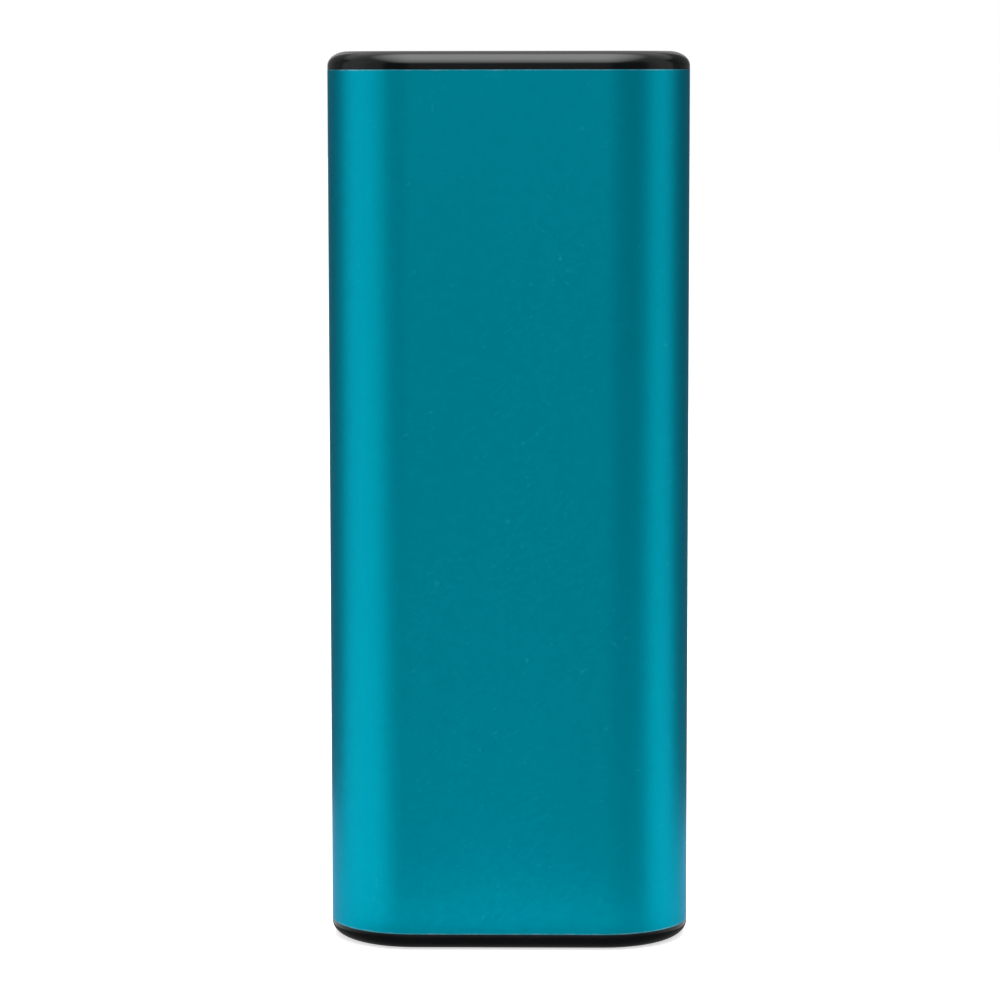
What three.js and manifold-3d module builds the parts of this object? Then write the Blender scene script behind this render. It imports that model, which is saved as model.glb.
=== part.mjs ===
// Rechargeable hand warmer, standing upright. An extruded aluminium tube of flattened section holds two
// cells side by side, a heating film behind each wide wall and a circuit board above the cells.
// Two moulded caps with rolled edges close it. The top cap carries the sockets, lamps and power button.
// Millimetres, +Z up, the front faces -Y, and the origin is the middle of the flat that it stands on.

import * as THREE from "three";
import { mergeVertices } from "three/addons/utils/BufferGeometryUtils.js";
import Module from "manifold-3d";

const wasm = await Module();
wasm.setup();

// Driving sizes

// The two cells, which set the width and depth of all that goes round them
const cellDiameter = 18.3;
const cellLength = 65;
const cellGap = 0.4;

// The tube
const shellWall = 1.2;
const shellCornerRadius = 10;
const shellEdgeChamfer = 0.25;

// The caps: the lip shows, and the skirt slides into the tube
const capLip = 2;
const capRollInset = 2.4;
const capRollHeight = 1.45;
const skirtWall = 1;
const skirtDepth = 4.5;
const skirtLead = 0.3;
const latchWidth = 6;
const latchHeight = 1.4;
const latchBite = 0.8;
const latchSpacing = 16;

// The moulded carrier
const chassisRail = 0.8;
const chassisFloor = 1.8;
const collarWall = 1;

// The heater behind each wide wall
const spreaderThickness = 0.5;
const filmThickness = 0.25;

// The cell connections and the pad over them
const stripThickness = 0.2;
const foamThickness = 1.2;

// The board and what stands at its top edge
const boardThickness = 1.2;
const inductorRise = 1.8;
const inductorSide = 7;
const contactFootLength = 1.4;
const usbTailRoom = 1.4;
const usbWidth = 13.1;
const usbHeight = 5.7;
const usbLength = 14;
const microWidth = 7.6;
const microHeight = 2.6;
const microLength = 5.2;
const portRecess = 0.6;
const buttonRadius = 4;
const buttonTravel = 0.4;
const flangeOverhang = 0.5;
const rowMargin = 1.4;
const rowGap = 1.1;

// Clearances: faces at rest on each other, pieces that slide together, and the room round a cell or a drop
const touchGap = 0.1;
const slideGap = 0.2;
const freeGap = 0.3;
const overrun = 1;

// How fine the curves are
const planSteps = 5;
const cornerSteps = 2;
const roundSides = 32;
const smallRoundSides = 12;
const rollSteps = 5;
const weldDistance = 0.0001;
const fullestCornerShare = 0.97;

// Widths and depths, from the cells outwards and from the row of sockets

const flangeRadius = buttonRadius + flangeOverhang;
const collarInset = shellWall + 2 * slideGap + skirtWall;
const bayInset = collarInset + collarWall;
const cellRowWidth = 2 * (cellDiameter + freeGap + chassisRail + slideGap) + cellGap;
const bayWallWidth = bayInset - shellWall;
const portRowWidth = usbWidth + microWidth + 2 * (flangeRadius + rowMargin + rowGap + bayWallWidth);
const cavityWidth = Math.max(cellRowWidth, portRowWidth);
const cavityDepth = cellDiameter + 2 * (spreaderThickness + filmThickness + 4 * touchGap);
const shellWidth = cavityWidth + 2 * shellWall;
const shellDepth = cavityDepth + 2 * shellWall;
const shellCorner = Math.min(shellCornerRadius, (fullestCornerShare * shellDepth) / 2);
const cellX = (cellDiameter + cellGap) / 2;
const boreRadius = cellDiameter / 2 + freeGap;
const bayHalfWidth = shellWidth / 2 - bayInset;
const bayHalfDepth = shellDepth / 2 - bayInset;

// Levels, from the ground upwards

const shellBottomZ = capLip + touchGap;
const floorBottomZ = capLip + skirtDepth + slideGap;
const floorTopZ = floorBottomZ + chassisFloor;
const cellBottomZ = floorTopZ + stripThickness + 2 * touchGap;
const cellTopZ = cellBottomZ + cellLength;
const deckBottomZ = cellTopZ + stripThickness + foamThickness + 3 * touchGap;
const deckTopZ = deckBottomZ + chassisFloor;
const boardBottomZ = deckTopZ + touchGap;
const powerZoneHeight = inductorRise + inductorSide + freeGap + contactFootLength + usbTailRoom;
const usbRearZ = boardBottomZ + powerZoneHeight;
const ceilingZ = usbRearZ + usbLength + portRecess - capLip;
const boardTopZ = ceilingZ - freeGap;
const shellTopZ = ceilingZ - touchGap;

// Places along the row at the top, where the button is at the right end and the charging socket between

const usbX = rowMargin + usbWidth / 2 - bayHalfWidth;
const buttonX = bayHalfWidth - rowMargin - flangeRadius;
const microX = (usbX + usbWidth / 2 + buttonX - flangeRadius) / 2;

// Finishes

const tealAnodised = { color: 0x0a7487, roughness: 0.38, metalness: 0.85 };
const blackGloss = { color: 0x0b0c0d, roughness: 0.12, metalness: 0 };
const greyNylon = { color: 0x2b2d30, roughness: 0.6, metalness: 0 };
const clearPlastic = { color: 0xe9eef0, roughness: 0.15, metalness: 0 };
const blackPlastic = { color: 0x17181a, roughness: 0.5, metalness: 0 };
const whitePlastic = { color: 0xe8e6df, roughness: 0.5, metalness: 0 };
const plainSteel = { color: 0xb9bcc0, roughness: 0.3, metalness: 0.95 };
const goldPlate = { color: 0xd8b45a, roughness: 0.3, metalness: 0.95 };
const nickel = { color: 0xc9c7bf, roughness: 0.35, metalness: 0.95 };
const spreaderAluminium = { color: 0xcfd2d4, roughness: 0.45, metalness: 0.9 };
const amberFilm = { color: 0xb36a1c, roughness: 0.35, metalness: 0.1 };
const greenBoard = { color: 0x12502f, roughness: 0.45, metalness: 0 };
const cellWrap = { color: 0x2f6fb0, roughness: 0.4, metalness: 0 };
const cardPaper = { color: 0xd7d2bf, roughness: 0.8, metalness: 0 };
const greyFoam = { color: 0x45474a, roughness: 0.9, metalness: 0 };
const ferrite = { color: 0x3a3c40, roughness: 0.7, metalness: 0.1 };
const canAluminium = { color: 0xc4c6c8, roughness: 0.3, metalness: 0.9 };
const leadSleeve = { color: 0x1a1a1c, roughness: 0.55, metalness: 0 };

// Outlines

// A rectangle with round corners, centred, drawn anticlockwise.
function roundedShape(width, depth, radius) {
  const halfWidth = width / 2;
  const halfDepth = depth / 2;
  const corner = Math.min(radius, fullestCornerShare * Math.min(halfWidth, halfDepth));
  const shape = new THREE.Shape();
  shape.moveTo(corner - halfWidth, -halfDepth);
  shape.absarc(halfWidth - corner, corner - halfDepth, corner, -Math.PI / 2, 0);
  shape.absarc(halfWidth - corner, halfDepth - corner, corner, 0, Math.PI / 2);
  shape.absarc(corner - halfWidth, halfDepth - corner, corner, Math.PI / 2, Math.PI);
  shape.absarc(corner - halfWidth, corner - halfDepth, corner, Math.PI, 1.5 * Math.PI);
  return shape;
}

// The plan of the tube drawn inwards by an inset, which every cap, skirt and carrier wall follows.
function planInset(inset) {
  return roundedShape(shellWidth - 2 * inset, shellDepth - 2 * inset, shellCorner - inset);
}

// The same plan as a wall of even thickness.
function planRing(inset, wall) {
  const ring = planInset(inset);
  ring.holes.push(planInset(inset + wall));
  return ring;
}

// A regular polygon, used as the section of a lead.
function polygonShape(radius, sides) {
  const points = [];
  for (let i = 0; i < sides; i += 1) {
    const angle = (2 * Math.PI * i) / sides;
    points.push(new THREE.Vector2(radius * Math.cos(angle), radius * Math.sin(angle)));
  }
  return new THREE.Shape(points);
}

// The outline of a strip of even thickness that follows a bent line, with mitred bends.
function ribbonShape(line, thickness) {
  const normalOf = (a, b) => new THREE.Vector2(a.y - b.y, b.x - a.x).normalize();
  const offsets = line.map((point, i) => {
    const before = normalOf(line[Math.max(i - 1, 0)], line[Math.max(i, 1)]);
    const after = normalOf(line[Math.min(i, line.length - 2)], line[Math.min(i + 1, line.length - 1)]);
    const middle = before.clone().add(after).normalize();
    return middle.multiplyScalar(thickness / 2 / middle.dot(after));
  });
  const left = line.map((point, i) => point.clone().add(offsets[i]));
  const right = line.map((point, i) => point.clone().sub(offsets[i]));
  return new THREE.Shape([...left, ...right.reverse()]);
}

// Solid forms

// A prism on the plane Z = base. Its edges are chamfered at both ends when a chamfer is given.
function prism(shape, height, base = 0, chamfer = 0, steps = cornerSteps) {
  const form = new THREE.ExtrudeGeometry(shape, {
    depth: height - 2 * chamfer,
    bevelEnabled: chamfer > 0,
    bevelThickness: chamfer,
    bevelSize: chamfer,
    bevelOffset: -chamfer,
    bevelSegments: 1,
    curveSegments: steps,
  });
  return form.translate(0, 0, base + chamfer);
}

// The same with the finer corners that the plan of the tube needs.
function planPrism(shape, height, base, chamfer = 0) {
  return prism(shape, height, base, chamfer, planSteps);
}

// A box between two opposite corners.
function boxBetween(low, high) {
  const size = high.clone().sub(low);
  const middle = high.clone().add(low).divideScalar(2);
  return new THREE.BoxGeometry(size.x, size.y, size.z).translate(middle.x, middle.y, middle.z);
}

// A round bar along Z that widens or narrows from one end to the other.
function taperedRod(lowRadius, highRadius, lowZ, highZ, sides = roundSides) {
  const form = new THREE.CylinderGeometry(highRadius, lowRadius, highZ - lowZ, sides);
  return form.rotateX(Math.PI / 2).translate(0, 0, (lowZ + highZ) / 2);
}

// A round bar along Y.
function crossRod(radius, lowY, highY) {
  const form = new THREE.CylinderGeometry(radius, radius, highY - lowY, smallRoundSides);
  return form.translate(0, (lowY + highY) / 2, 0);
}

// A turned form about Z from a list of radius and height pairs that starts and ends on the axis.
function turned(profile, sides = roundSides) {
  const points = profile.map(([radius, z]) => new THREE.Vector2(radius, z));
  return new THREE.LatheGeometry(points, sides).rotateX(Math.PI / 2);
}

// A plate whose outline is drawn in X and Z, centred on Y = 0.
function uprightPlate(shape, thickness, chamfer = 0, steps = cornerSteps) {
  const toUpright = new THREE.Matrix4().makeBasis(
    new THREE.Vector3(1, 0, 0),
    new THREE.Vector3(0, 0, 1),
    new THREE.Vector3(0, -1, 0),
  );
  return prism(shape, thickness, -thickness / 2, chamfer, steps).applyMatrix4(toUpright);
}

// A bar along X whose section is drawn in Y and Z, centred on X = 0.
function sideways(shape, width) {
  const toSideways = new THREE.Matrix4().makeBasis(
    new THREE.Vector3(0, 1, 0),
    new THREE.Vector3(0, 0, 1),
    new THREE.Vector3(1, 0, 0),
  );
  return prism(shape, width, -width / 2).applyMatrix4(toSideways);
}

// Joining and cutting

function solidOf(form) {
  if (!form.isBufferGeometry) return form;
  const bare = form.clone();
  bare.deleteAttribute("normal");
  bare.deleteAttribute("uv");
  const merged = mergeVertices(bare, weldDistance);
  const mesh = new wasm.Mesh({
    numProp: 3,
    vertProperties: merged.attributes.position.array,
    triVerts: new Uint32Array(merged.index.array),
  });
  return new wasm.Manifold(mesh);
}

function joined(first, ...others) {
  return others.reduce((whole, other) => whole.add(solidOf(other)), solidOf(first));
}

function cutBy(first, ...tools) {
  return tools.reduce((left, tool) => left.subtract(solidOf(tool)), solidOf(first));
}

function common(first, second) {
  return solidOf(first).intersect(solidOf(second));
}

// One named piece with its own material.
function piece(name, form, finish) {
  let surface = form;
  if (!form.isBufferGeometry) {
    const mesh = form.getMesh();
    surface = new THREE.BufferGeometry();
    surface.setAttribute("position", new THREE.BufferAttribute(mesh.vertProperties, 3));
    surface.setIndex(new THREE.BufferAttribute(mesh.triVerts, 1));
    surface = surface.toNonIndexed();
    surface.computeVertexNormals();
  }
  const made = new THREE.Mesh(surface, new THREE.MeshStandardMaterial(finish));
  made.name = name;
  return made;
}

// Tube

function shellTube() {
  const length = shellTopZ - shellBottomZ;
  const tube = planPrism(planRing(0, shellWall), length, shellBottomZ, shellEdgeChamfer);
  return piece("shell_tube", tube, tealAnodised);
}

// Caps, drawn with the lip upwards and the plane that meets the tube at Z = 0

const latchDrop = skirtDepth / 2;

function capBlank() {
  const rolled = new THREE.ExtrudeGeometry(planInset(0), {
    depth: capLip - capRollHeight,
    bevelThickness: capRollHeight,
    bevelSize: capRollInset,
    bevelOffset: -capRollInset,
    bevelSegments: rollSteps,
    curveSegments: planSteps,
  });
  const aboveSeat = boxBetween(
    new THREE.Vector3(-shellWidth, -shellDepth, 0),
    new THREE.Vector3(shellWidth, shellDepth, capLip + overrun),
  );
  const lip = common(rolled, aboveSeat);
  const skirtHeight = skirtDepth + capLip / 2;
  const skirt = planPrism(planRing(shellWall + slideGap, skirtWall), skirtHeight, -skirtDepth, skirtLead);
  const windowHalf = latchHeight / 2 + slideGap;
  const windows = [-1, 1].map((side) =>
    boxBetween(
      new THREE.Vector3((side * latchSpacing - latchWidth) / 2 - slideGap, -shellDepth, -windowHalf),
      new THREE.Vector3((side * latchSpacing + latchWidth) / 2 + slideGap, shellDepth, windowHalf),
    ).translate(0, 0, -latchDrop),
  );
  return joined(lip, cutBy(skirt, ...windows));
}

// A hole through the lip whose rim is chamfered outwards. The outline is a function of how far it is grown.
const windowChamfer = 0.3;

function windowTool(outlineGrownBy, x, y) {
  const through = prism(outlineGrownBy(0), capLip + 2 * overrun, -overrun);
  const rim = new THREE.ExtrudeGeometry(outlineGrownBy(windowChamfer), {
    depth: overrun,
    bevelThickness: windowChamfer,
    bevelSize: windowChamfer,
    bevelOffset: -windowChamfer,
    bevelSegments: 1,
    curveSegments: cornerSteps,
  }).translate(0, 0, capLip);
  return joined(through, rim).translate([x, y, 0]);
}

// Socket outlines

const usbCorner = 0.6;
const usbWall = 0.3;

function usbOutline(grow) {
  return roundedShape(usbWidth + 2 * grow, usbHeight + 2 * grow, usbCorner + grow);
}

const microWall = 0.25;
const microFootShare = 0.72;
const microSideShare = 0.45;
const microY = boardThickness / 2 + touchGap + microHeight / 2;

// The charging socket is narrower on the side that lies on the board.
function microOutline(grow) {
  const halfWidth = microWidth / 2 + grow;
  const footHalf = (microFootShare * microWidth) / 2 + grow;
  const halfHeight = microHeight / 2 + grow;
  const shoulder = microSideShare * microHeight - microHeight / 2;
  const shape = new THREE.Shape();
  shape.moveTo(-footHalf, -halfHeight);
  shape.lineTo(footHalf, -halfHeight);
  shape.lineTo(halfWidth, shoulder);
  shape.lineTo(halfWidth, halfHeight);
  shape.lineTo(-halfWidth, halfHeight);
  shape.lineTo(-halfWidth, shoulder);
  shape.closePath();
  return shape;
}

// Lamps: four pins of one clear moulding, over four lamps on the front of the board

const lampCount = 4;
const lampPitch = 2.1;
const lampPinRadius = 0.6;
const lampDepth = 1.2;
const lampWidth = 1.7;
const lampHeight = 1.2;
const lampCorner = 0.2;
const pipeBarHeight = 0.8;
const lampY = -(boardThickness / 2 + touchGap + lampDepth / 2);

function lampXs() {
  const first = microX - ((lampCount - 1) * lampPitch) / 2;
  return Array.from({ length: lampCount }, (unused, i) => first + i * lampPitch);
}

function lightPipe() {
  const barLength = (lampCount - 1) * lampPitch + 2 * (lampPinRadius + touchGap);
  const barBottom = -touchGap - pipeBarHeight;
  const bar = prism(roundedShape(barLength, lampDepth, lampPinRadius), pipeBarHeight, barBottom);
  const pin = taperedRod(lampPinRadius, lampPinRadius, barBottom / 2, capLip - touchGap, smallRoundSides);
  const pins = lampXs().map((x) => pin.clone().translate(x - microX, 0, 0));
  const made = piece("light_pipe", joined(bar, ...pins), clearPlastic);
  made.position.set(microX, lampY, ceilingZ);
  return made;
}

function indicatorLamps() {
  const top = -2 * touchGap - pipeBarHeight;
  return lampXs().map((x, i) => {
    const body = prism(roundedShape(lampWidth, lampDepth, lampCorner), lampHeight, top - lampHeight);
    const made = piece("indicator_led_" + (i + 1), body, whitePlastic);
    made.position.set(x, lampY, ceilingZ);
    return made;
  });
}

// Button and the switch under it, drawn about the button's axis with the underside of the cap at Z = 0

const buttonSink = 0.25;
const buttonDish = 0.3;
const buttonEdgeRound = 0.35;
const wellDepth = 0.45;
const wellRim = 0.9;
const flangeThickness = 0.8;
const stemRadius = 1.5;
const stemLength = 1;
const dishSteps = 4;
const stemBottom = -touchGap - flangeThickness - stemLength;

function powerButton() {
  const topZ = capLip - buttonSink;
  const profile = [
    [0, stemBottom],
    [stemRadius, stemBottom],
    [stemRadius, -touchGap - flangeThickness],
    [flangeRadius, -touchGap - flangeThickness],
    [flangeRadius, -touchGap],
    [buttonRadius, -touchGap],
    [buttonRadius, topZ - buttonEdgeRound],
  ];
  const dishRadius = buttonRadius - buttonEdgeRound;
  for (let i = 0; i <= dishSteps; i += 1) {
    const outShare = 1 - i / dishSteps;
    profile.push([dishRadius * outShare, topZ - buttonDish * (1 - outShare * outShare)]);
  }
  const made = piece("power_button", turned(profile), blackGloss);
  made.position.set(buttonX, 0, ceilingZ);
  return made;
}

const plungerWidth = 2.6;
const plungerDepth = 1.6;
const plungerSocket = 1.5;
const plungerCorner = 0.2;
const plungerChamfer = 0.1;
const plungerTop = stemBottom - touchGap;
const switchTop = plungerTop - buttonTravel - 2 * freeGap;
const plungerBottom = switchTop - plungerSocket;
const switchWidth = 6;
const switchDepth = 3.8;
const switchBase = 1.8;
const switchPocketFloor = plungerBottom - buttonTravel - freeGap;
const switchBottom = switchPocketFloor - switchBase;
const switchLugReach = 1;
const switchLugHeight = 1.6;
const switchLugThickness = 0.3;
const switchCorner = 0.4;
const switchEdgeChamfer = 0.25;

function switchPlunger() {
  const height = plungerTop - plungerBottom;
  const outline = roundedShape(plungerWidth, plungerDepth, plungerCorner);
  const form = prism(outline, height, plungerBottom, plungerChamfer);
  const made = piece("switch_plunger", form, whitePlastic);
  made.position.set(buttonX, 0, ceilingZ);
  return made;
}

function tactSwitch() {
  const height = switchTop - switchBottom;
  const blockOutline = roundedShape(switchWidth, switchDepth, switchCorner);
  const block = prism(blockOutline, height, switchBottom, switchEdgeChamfer);
  const pocketOutline = roundedShape(plungerWidth + 2 * slideGap, plungerDepth + 2 * slideGap, plungerCorner);
  const pocket = prism(pocketOutline, switchTop + overrun - switchPocketFloor, switchPocketFloor);
  const lugMiddle = (switchTop + switchBottom) / 2;
  const lugFront = -boardThickness / 2 - touchGap;
  const lugSpan = switchWidth / 2 + switchLugReach;
  const lugs = boxBetween(
    new THREE.Vector3(-lugSpan, lugFront - switchLugThickness, lugMiddle - switchLugHeight / 2),
    new THREE.Vector3(lugSpan, lugFront, lugMiddle + switchLugHeight / 2),
  );
  const made = piece("tact_switch", joined(cutBy(block, pocket), cutBy(lugs, pocket)), blackPlastic);
  made.position.set(buttonX, 0, ceilingZ);
  return made;
}

function topCap() {
  const usbWindow = windowTool((grow) => usbOutline(grow + slideGap), usbX, 0);
  const microWindow = windowTool((grow) => microOutline(grow + slideGap), microX, microY);
  const boreWide = buttonRadius + slideGap;
  const boreTool = taperedRod(boreWide, boreWide, -overrun, capLip + overrun);
  const well = taperedRod(boreWide, boreWide + wellRim, capLip - wellDepth, capLip);
  const wellRelease = taperedRod(boreWide + wellRim, boreWide + wellRim, capLip, capLip + overrun);
  const buttonTool = joined(boreTool, well, wellRelease).translate([buttonX, 0, 0]);
  const lampWide = lampPinRadius + touchGap;
  const lampHole = taperedRod(lampWide, lampWide, -overrun, capLip + overrun, smallRoundSides);
  const lampHoles = lampXs().map((x) => lampHole.clone().translate(x, lampY, 0));
  const cap = cutBy(capBlank(), usbWindow, microWindow, buttonTool, ...lampHoles);
  const made = piece("top_cap", cap, blackGloss);
  made.position.z = ceilingZ;
  return made;
}

function bottomCap() {
  const made = piece("bottom_cap", capBlank(), blackGloss);
  made.rotation.x = Math.PI;
  made.position.z = capLip;
  return made;
}

// Power output socket, drawn with its rear end at Z = 0

const usbTabReach = 1.2;
const usbTabLength = 3;
const usbTabMiddleShare = 0.4;
const usbBlockLength = 3.6;
const tongueSideRoom = 0.7;
const tongueWidth = usbWidth - 2 * (usbWall + tongueSideRoom);
const tongueThickness = 1.84;
const tongueCorner = 0.3;
const tongueChamfer = 0.1;
const tongueRecess = 2.6;
const plugWallRoom = 0.55;
const contactWidth = 1;
const contactThickness = 0.25;
const contactOuterX = 3.5;
const contactInnerX = 1;
const contactTipSetback = 0.6;
const usbCavityDepth = usbHeight - 2 * usbWall;
const tongueFaceY = usbCavityDepth / 2 - plugWallRoom - tongueThickness;
const tongueTipZ = usbLength - tongueRecess;

function usbShell() {
  const section = usbOutline(0);
  section.holes.push(roundedShape(usbWidth - 2 * usbWall, usbCavityDepth, usbCorner - usbWall));
  const sleeve = prism(section, usbLength);
  const cavity = prism(roundedShape(usbWidth - 2 * usbWall, usbCavityDepth, usbCorner - usbWall), usbLength);
  const tabFront = -boardThickness / 2 - touchGap;
  const tabMiddle = usbTabMiddleShare * usbLength;
  const tabs = boxBetween(
    new THREE.Vector3(-usbWidth / 2 - usbTabReach, tabFront - usbWall, tabMiddle - usbTabLength / 2),
    new THREE.Vector3(usbWidth / 2 + usbTabReach, tabFront, tabMiddle + usbTabLength / 2),
  );
  return piece("usb_a_shell", joined(sleeve, cutBy(tabs, cavity)), plainSteel);
}

function contactSlot(x) {
  const halfWidth = contactWidth / 2 + touchGap;
  return boxBetween(
    new THREE.Vector3(x - halfWidth, tongueFaceY - contactThickness - 2 * touchGap, -overrun),
    new THREE.Vector3(x + halfWidth, tongueFaceY, usbBlockLength + overrun),
  );
}

const contactXs = [-contactOuterX, -contactInnerX, contactInnerX, contactOuterX];

function usbInsulator() {
  const blockWidth = usbWidth - 2 * (usbWall + touchGap);
  const blockShape = roundedShape(blockWidth, usbCavityDepth - 2 * touchGap, usbCorner - usbWall);
  const block = prism(blockShape, usbBlockLength);
  const tongueShape = roundedShape(tongueWidth, tongueThickness, tongueCorner);
  const tongue = prism(tongueShape, tongueTipZ, 0, tongueChamfer);
  tongue.translate(0, tongueFaceY + tongueThickness / 2, 0);
  return piece("usb_a_insulator", cutBy(joined(block, tongue), ...contactXs.map(contactSlot)), blackPlastic);
}

function usbContact(x, number) {
  const tongueSideY = tongueFaceY - touchGap - contactThickness / 2;
  const boardSideY = -(boardThickness / 2 + touchGap + contactThickness / 2);
  const line = [
    new THREE.Vector2(tongueSideY, tongueTipZ - contactTipSetback),
    new THREE.Vector2(tongueSideY, -touchGap),
    new THREE.Vector2(boardSideY, slideGap - usbTailRoom),
    new THREE.Vector2(boardSideY, -usbTailRoom - contactFootLength),
  ];
  const strip = sideways(ribbonShape(line, contactThickness), contactWidth);
  const made = piece("usb_a_contact_" + number, strip, goldPlate);
  made.position.x = x;
  return made;
}

function usbSocket() {
  const socket = new THREE.Group();
  socket.add(usbShell(), usbInsulator());
  contactXs.forEach((x, i) => socket.add(usbContact(x, i + 1)));
  socket.position.set(usbX, 0, usbRearZ);
  return socket;
}

// Charging socket, drawn with its rear end at Z = 0

const microBlockLength = 1.4;
const microTongueWidth = 3.8;
const microTongueThickness = 0.7;
const microTongueCorner = 0.1;
const microTongueRecess = 0.8;

function microSocket() {
  const section = microOutline(0);
  section.holes.push(microOutline(-microWall));
  const block = prism(microOutline(-microWall - touchGap), microBlockLength);
  const tongueShape = roundedShape(microTongueWidth, microTongueThickness, microTongueCorner);
  const tongue = prism(tongueShape, microLength - microTongueRecess);
  const socket = new THREE.Group();
  socket.add(piece("micro_usb_shell", prism(section, microLength), plainSteel));
  socket.add(piece("micro_usb_insulator", joined(block, tongue), blackPlastic));
  socket.position.set(microX, microY, ceilingZ + capLip - portRecess - microLength);
  return socket;
}

// Circuit board, drawn with its bottom edge at Z = 0

const boardTongue = 0.4;
const boardHalfWidth = bayHalfWidth + boardTongue;
const boardHeight = boardTopZ - boardBottomZ;
const screwShankRadius = 0.85;
const screwHeadRadius = 1.8;
const screwHeadHeight = 1.1;
const screwLength = 5;
const screwInset = 2.8;
const screwX = boardHalfWidth - screwInset;
const screwRise = 3;
const bossRadius = 2.2;

function mainBoard() {
  const fromCeiling = (depth) => ceilingZ - depth - boardBottomZ;
  const usbLeft = usbX - usbWidth / 2 - slideGap;
  const usbRight = usbX + usbWidth / 2 + slideGap;
  const usbFloor = powerZoneHeight - usbTailRoom;
  const shelf = fromCeiling(touchGap + flangeThickness + buttonTravel + freeGap);
  const shelfLeft = buttonX - flangeRadius - freeGap;
  const switchHalf = switchWidth / 2 + slideGap;
  const switchFloor = fromCeiling(slideGap - switchBottom);
  const outline = new THREE.Shape();
  outline.moveTo(-boardHalfWidth, 0);
  outline.lineTo(boardHalfWidth, 0);
  outline.lineTo(boardHalfWidth, shelf);
  outline.lineTo(buttonX + switchHalf, shelf);
  outline.lineTo(buttonX + switchHalf, switchFloor);
  outline.lineTo(buttonX - switchHalf, switchFloor);
  outline.lineTo(buttonX - switchHalf, shelf);
  outline.lineTo(shelfLeft, shelf);
  outline.lineTo(shelfLeft, boardHeight);
  outline.lineTo(usbRight, boardHeight);
  outline.lineTo(usbRight, usbFloor);
  outline.lineTo(usbLeft, usbFloor);
  outline.lineTo(usbLeft, boardHeight);
  outline.lineTo(-boardHalfWidth, boardHeight);
  outline.closePath();
  for (const side of [-1, 1]) {
    const hole = new THREE.Path();
    hole.absarc(side * screwX, screwRise, screwShankRadius + slideGap, 0, 2 * Math.PI, true);
    outline.holes.push(hole);
  }
  return piece("main_board", uprightPlate(outline, boardThickness, 0, planSteps), greenBoard);
}

// The screws point to the rear, with the head on the front of the board.
function boardScrew(name, side) {
  const headBottom = boardThickness / 2 + touchGap;
  const profile = [
    [0, -screwLength],
    [screwShankRadius, -screwLength],
    [screwShankRadius, headBottom],
    [screwHeadRadius, headBottom],
    [screwHeadRadius, headBottom + screwHeadHeight / 2],
    [screwHeadRadius - screwHeadHeight / 2, headBottom + screwHeadHeight],
    [0, headBottom + screwHeadHeight],
  ];
  const made = piece(name, turned(profile, smallRoundSides), plainSteel);
  made.rotation.x = Math.PI / 2;
  made.position.set(side * screwX, 0, screwRise);
  return made;
}

// A flat component on the front or the rear of the board.
function flatPart(name, size, x, z, side, finish) {
  const form = uprightPlate(roundedShape(size.width, size.height, size.corner), size.thickness, size.chamfer);
  const made = piece(name, form, finish);
  made.position.set(x, side * (boardThickness / 2 + touchGap + size.thickness / 2), z);
  return made;
}

// Where the tails of the heating films and the lead come up to the board, between its large parts
const tailWidth = 4.4;
const tailX = 2.3;
const leadRadius = 0.75;
const leadX = 1.5;

const inductorSize = {
  width: inductorSide,
  height: inductorSide,
  thickness: 3.6,
  corner: 1.2,
  chamfer: 0.35,
};
const inductorShift = 0.95;
const inductorX = usbX + inductorShift;
const inductorZ = inductorRise + inductorSide / 2;
const chipSize = { width: 4, height: 4, thickness: 0.9, corner: 0.15, chamfer: 0.1 };
const boostChipRise = 1.2;
const boostChipZ = powerZoneHeight + boostChipRise + chipSize.height / 2;
const chargeChipX = -(tailX + tailWidth / 2 + screwX - bossRadius) / 2;
const chargeChipZ = 5;
const transistorSize = { width: 5, height: 4, thickness: 1.5, corner: 0.3, chamfer: 0.2 };
const transistorX = (leadX + leadRadius + screwX - bossRadius) / 2;
const transistorZ = 5.5;
const transistorLegs = 4;
const transistorLegPitch = 1.27;
const transistorLegWidth = 0.42;
const transistorLegReach = 1;
const transistorLegThickness = 0.25;
const capacitorRadius = 3.1;
const capacitorHeight = 5.4;
const capacitorBase = 6.5;
const capacitorBaseCorner = 0.35;
const capacitorBaseHeight = 1;
const capacitorGroove = 0.35;
const capacitorX = (tailX + tailWidth / 2 + screwX - screwHeadRadius) / 2;
const capacitorZ = 4.4;

// The transistor's legs leave the middle of the body and drop to the board.
function heaterTransistor() {
  const { width, height, thickness, corner, chamfer } = transistorSize;
  const body = uprightPlate(roundedShape(width, height, corner), thickness, chamfer);
  const legs = [];
  for (let i = 0; i < transistorLegs; i += 1) {
    const x = (i - (transistorLegs - 1) / 2) * transistorLegPitch;
    for (const side of [-1, 1]) {
      const footY = (transistorLegThickness - thickness) / 2;
      const line = [
        new THREE.Vector2(0, 0),
        new THREE.Vector2(0, side * (height / 2 + transistorLegReach / 2)),
        new THREE.Vector2(footY, side * (height / 2 + transistorLegReach / 2)),
        new THREE.Vector2(footY, side * (height / 2 + transistorLegReach)),
      ];
      legs.push(sideways(ribbonShape(line, transistorLegThickness), transistorLegWidth).translate(x, 0, 0));
    }
  }
  const made = piece("heater_transistor", joined(body, ...legs), blackPlastic);
  made.position.set(transistorX, boardThickness / 2 + touchGap + thickness / 2, transistorZ);
  return made;
}

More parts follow.
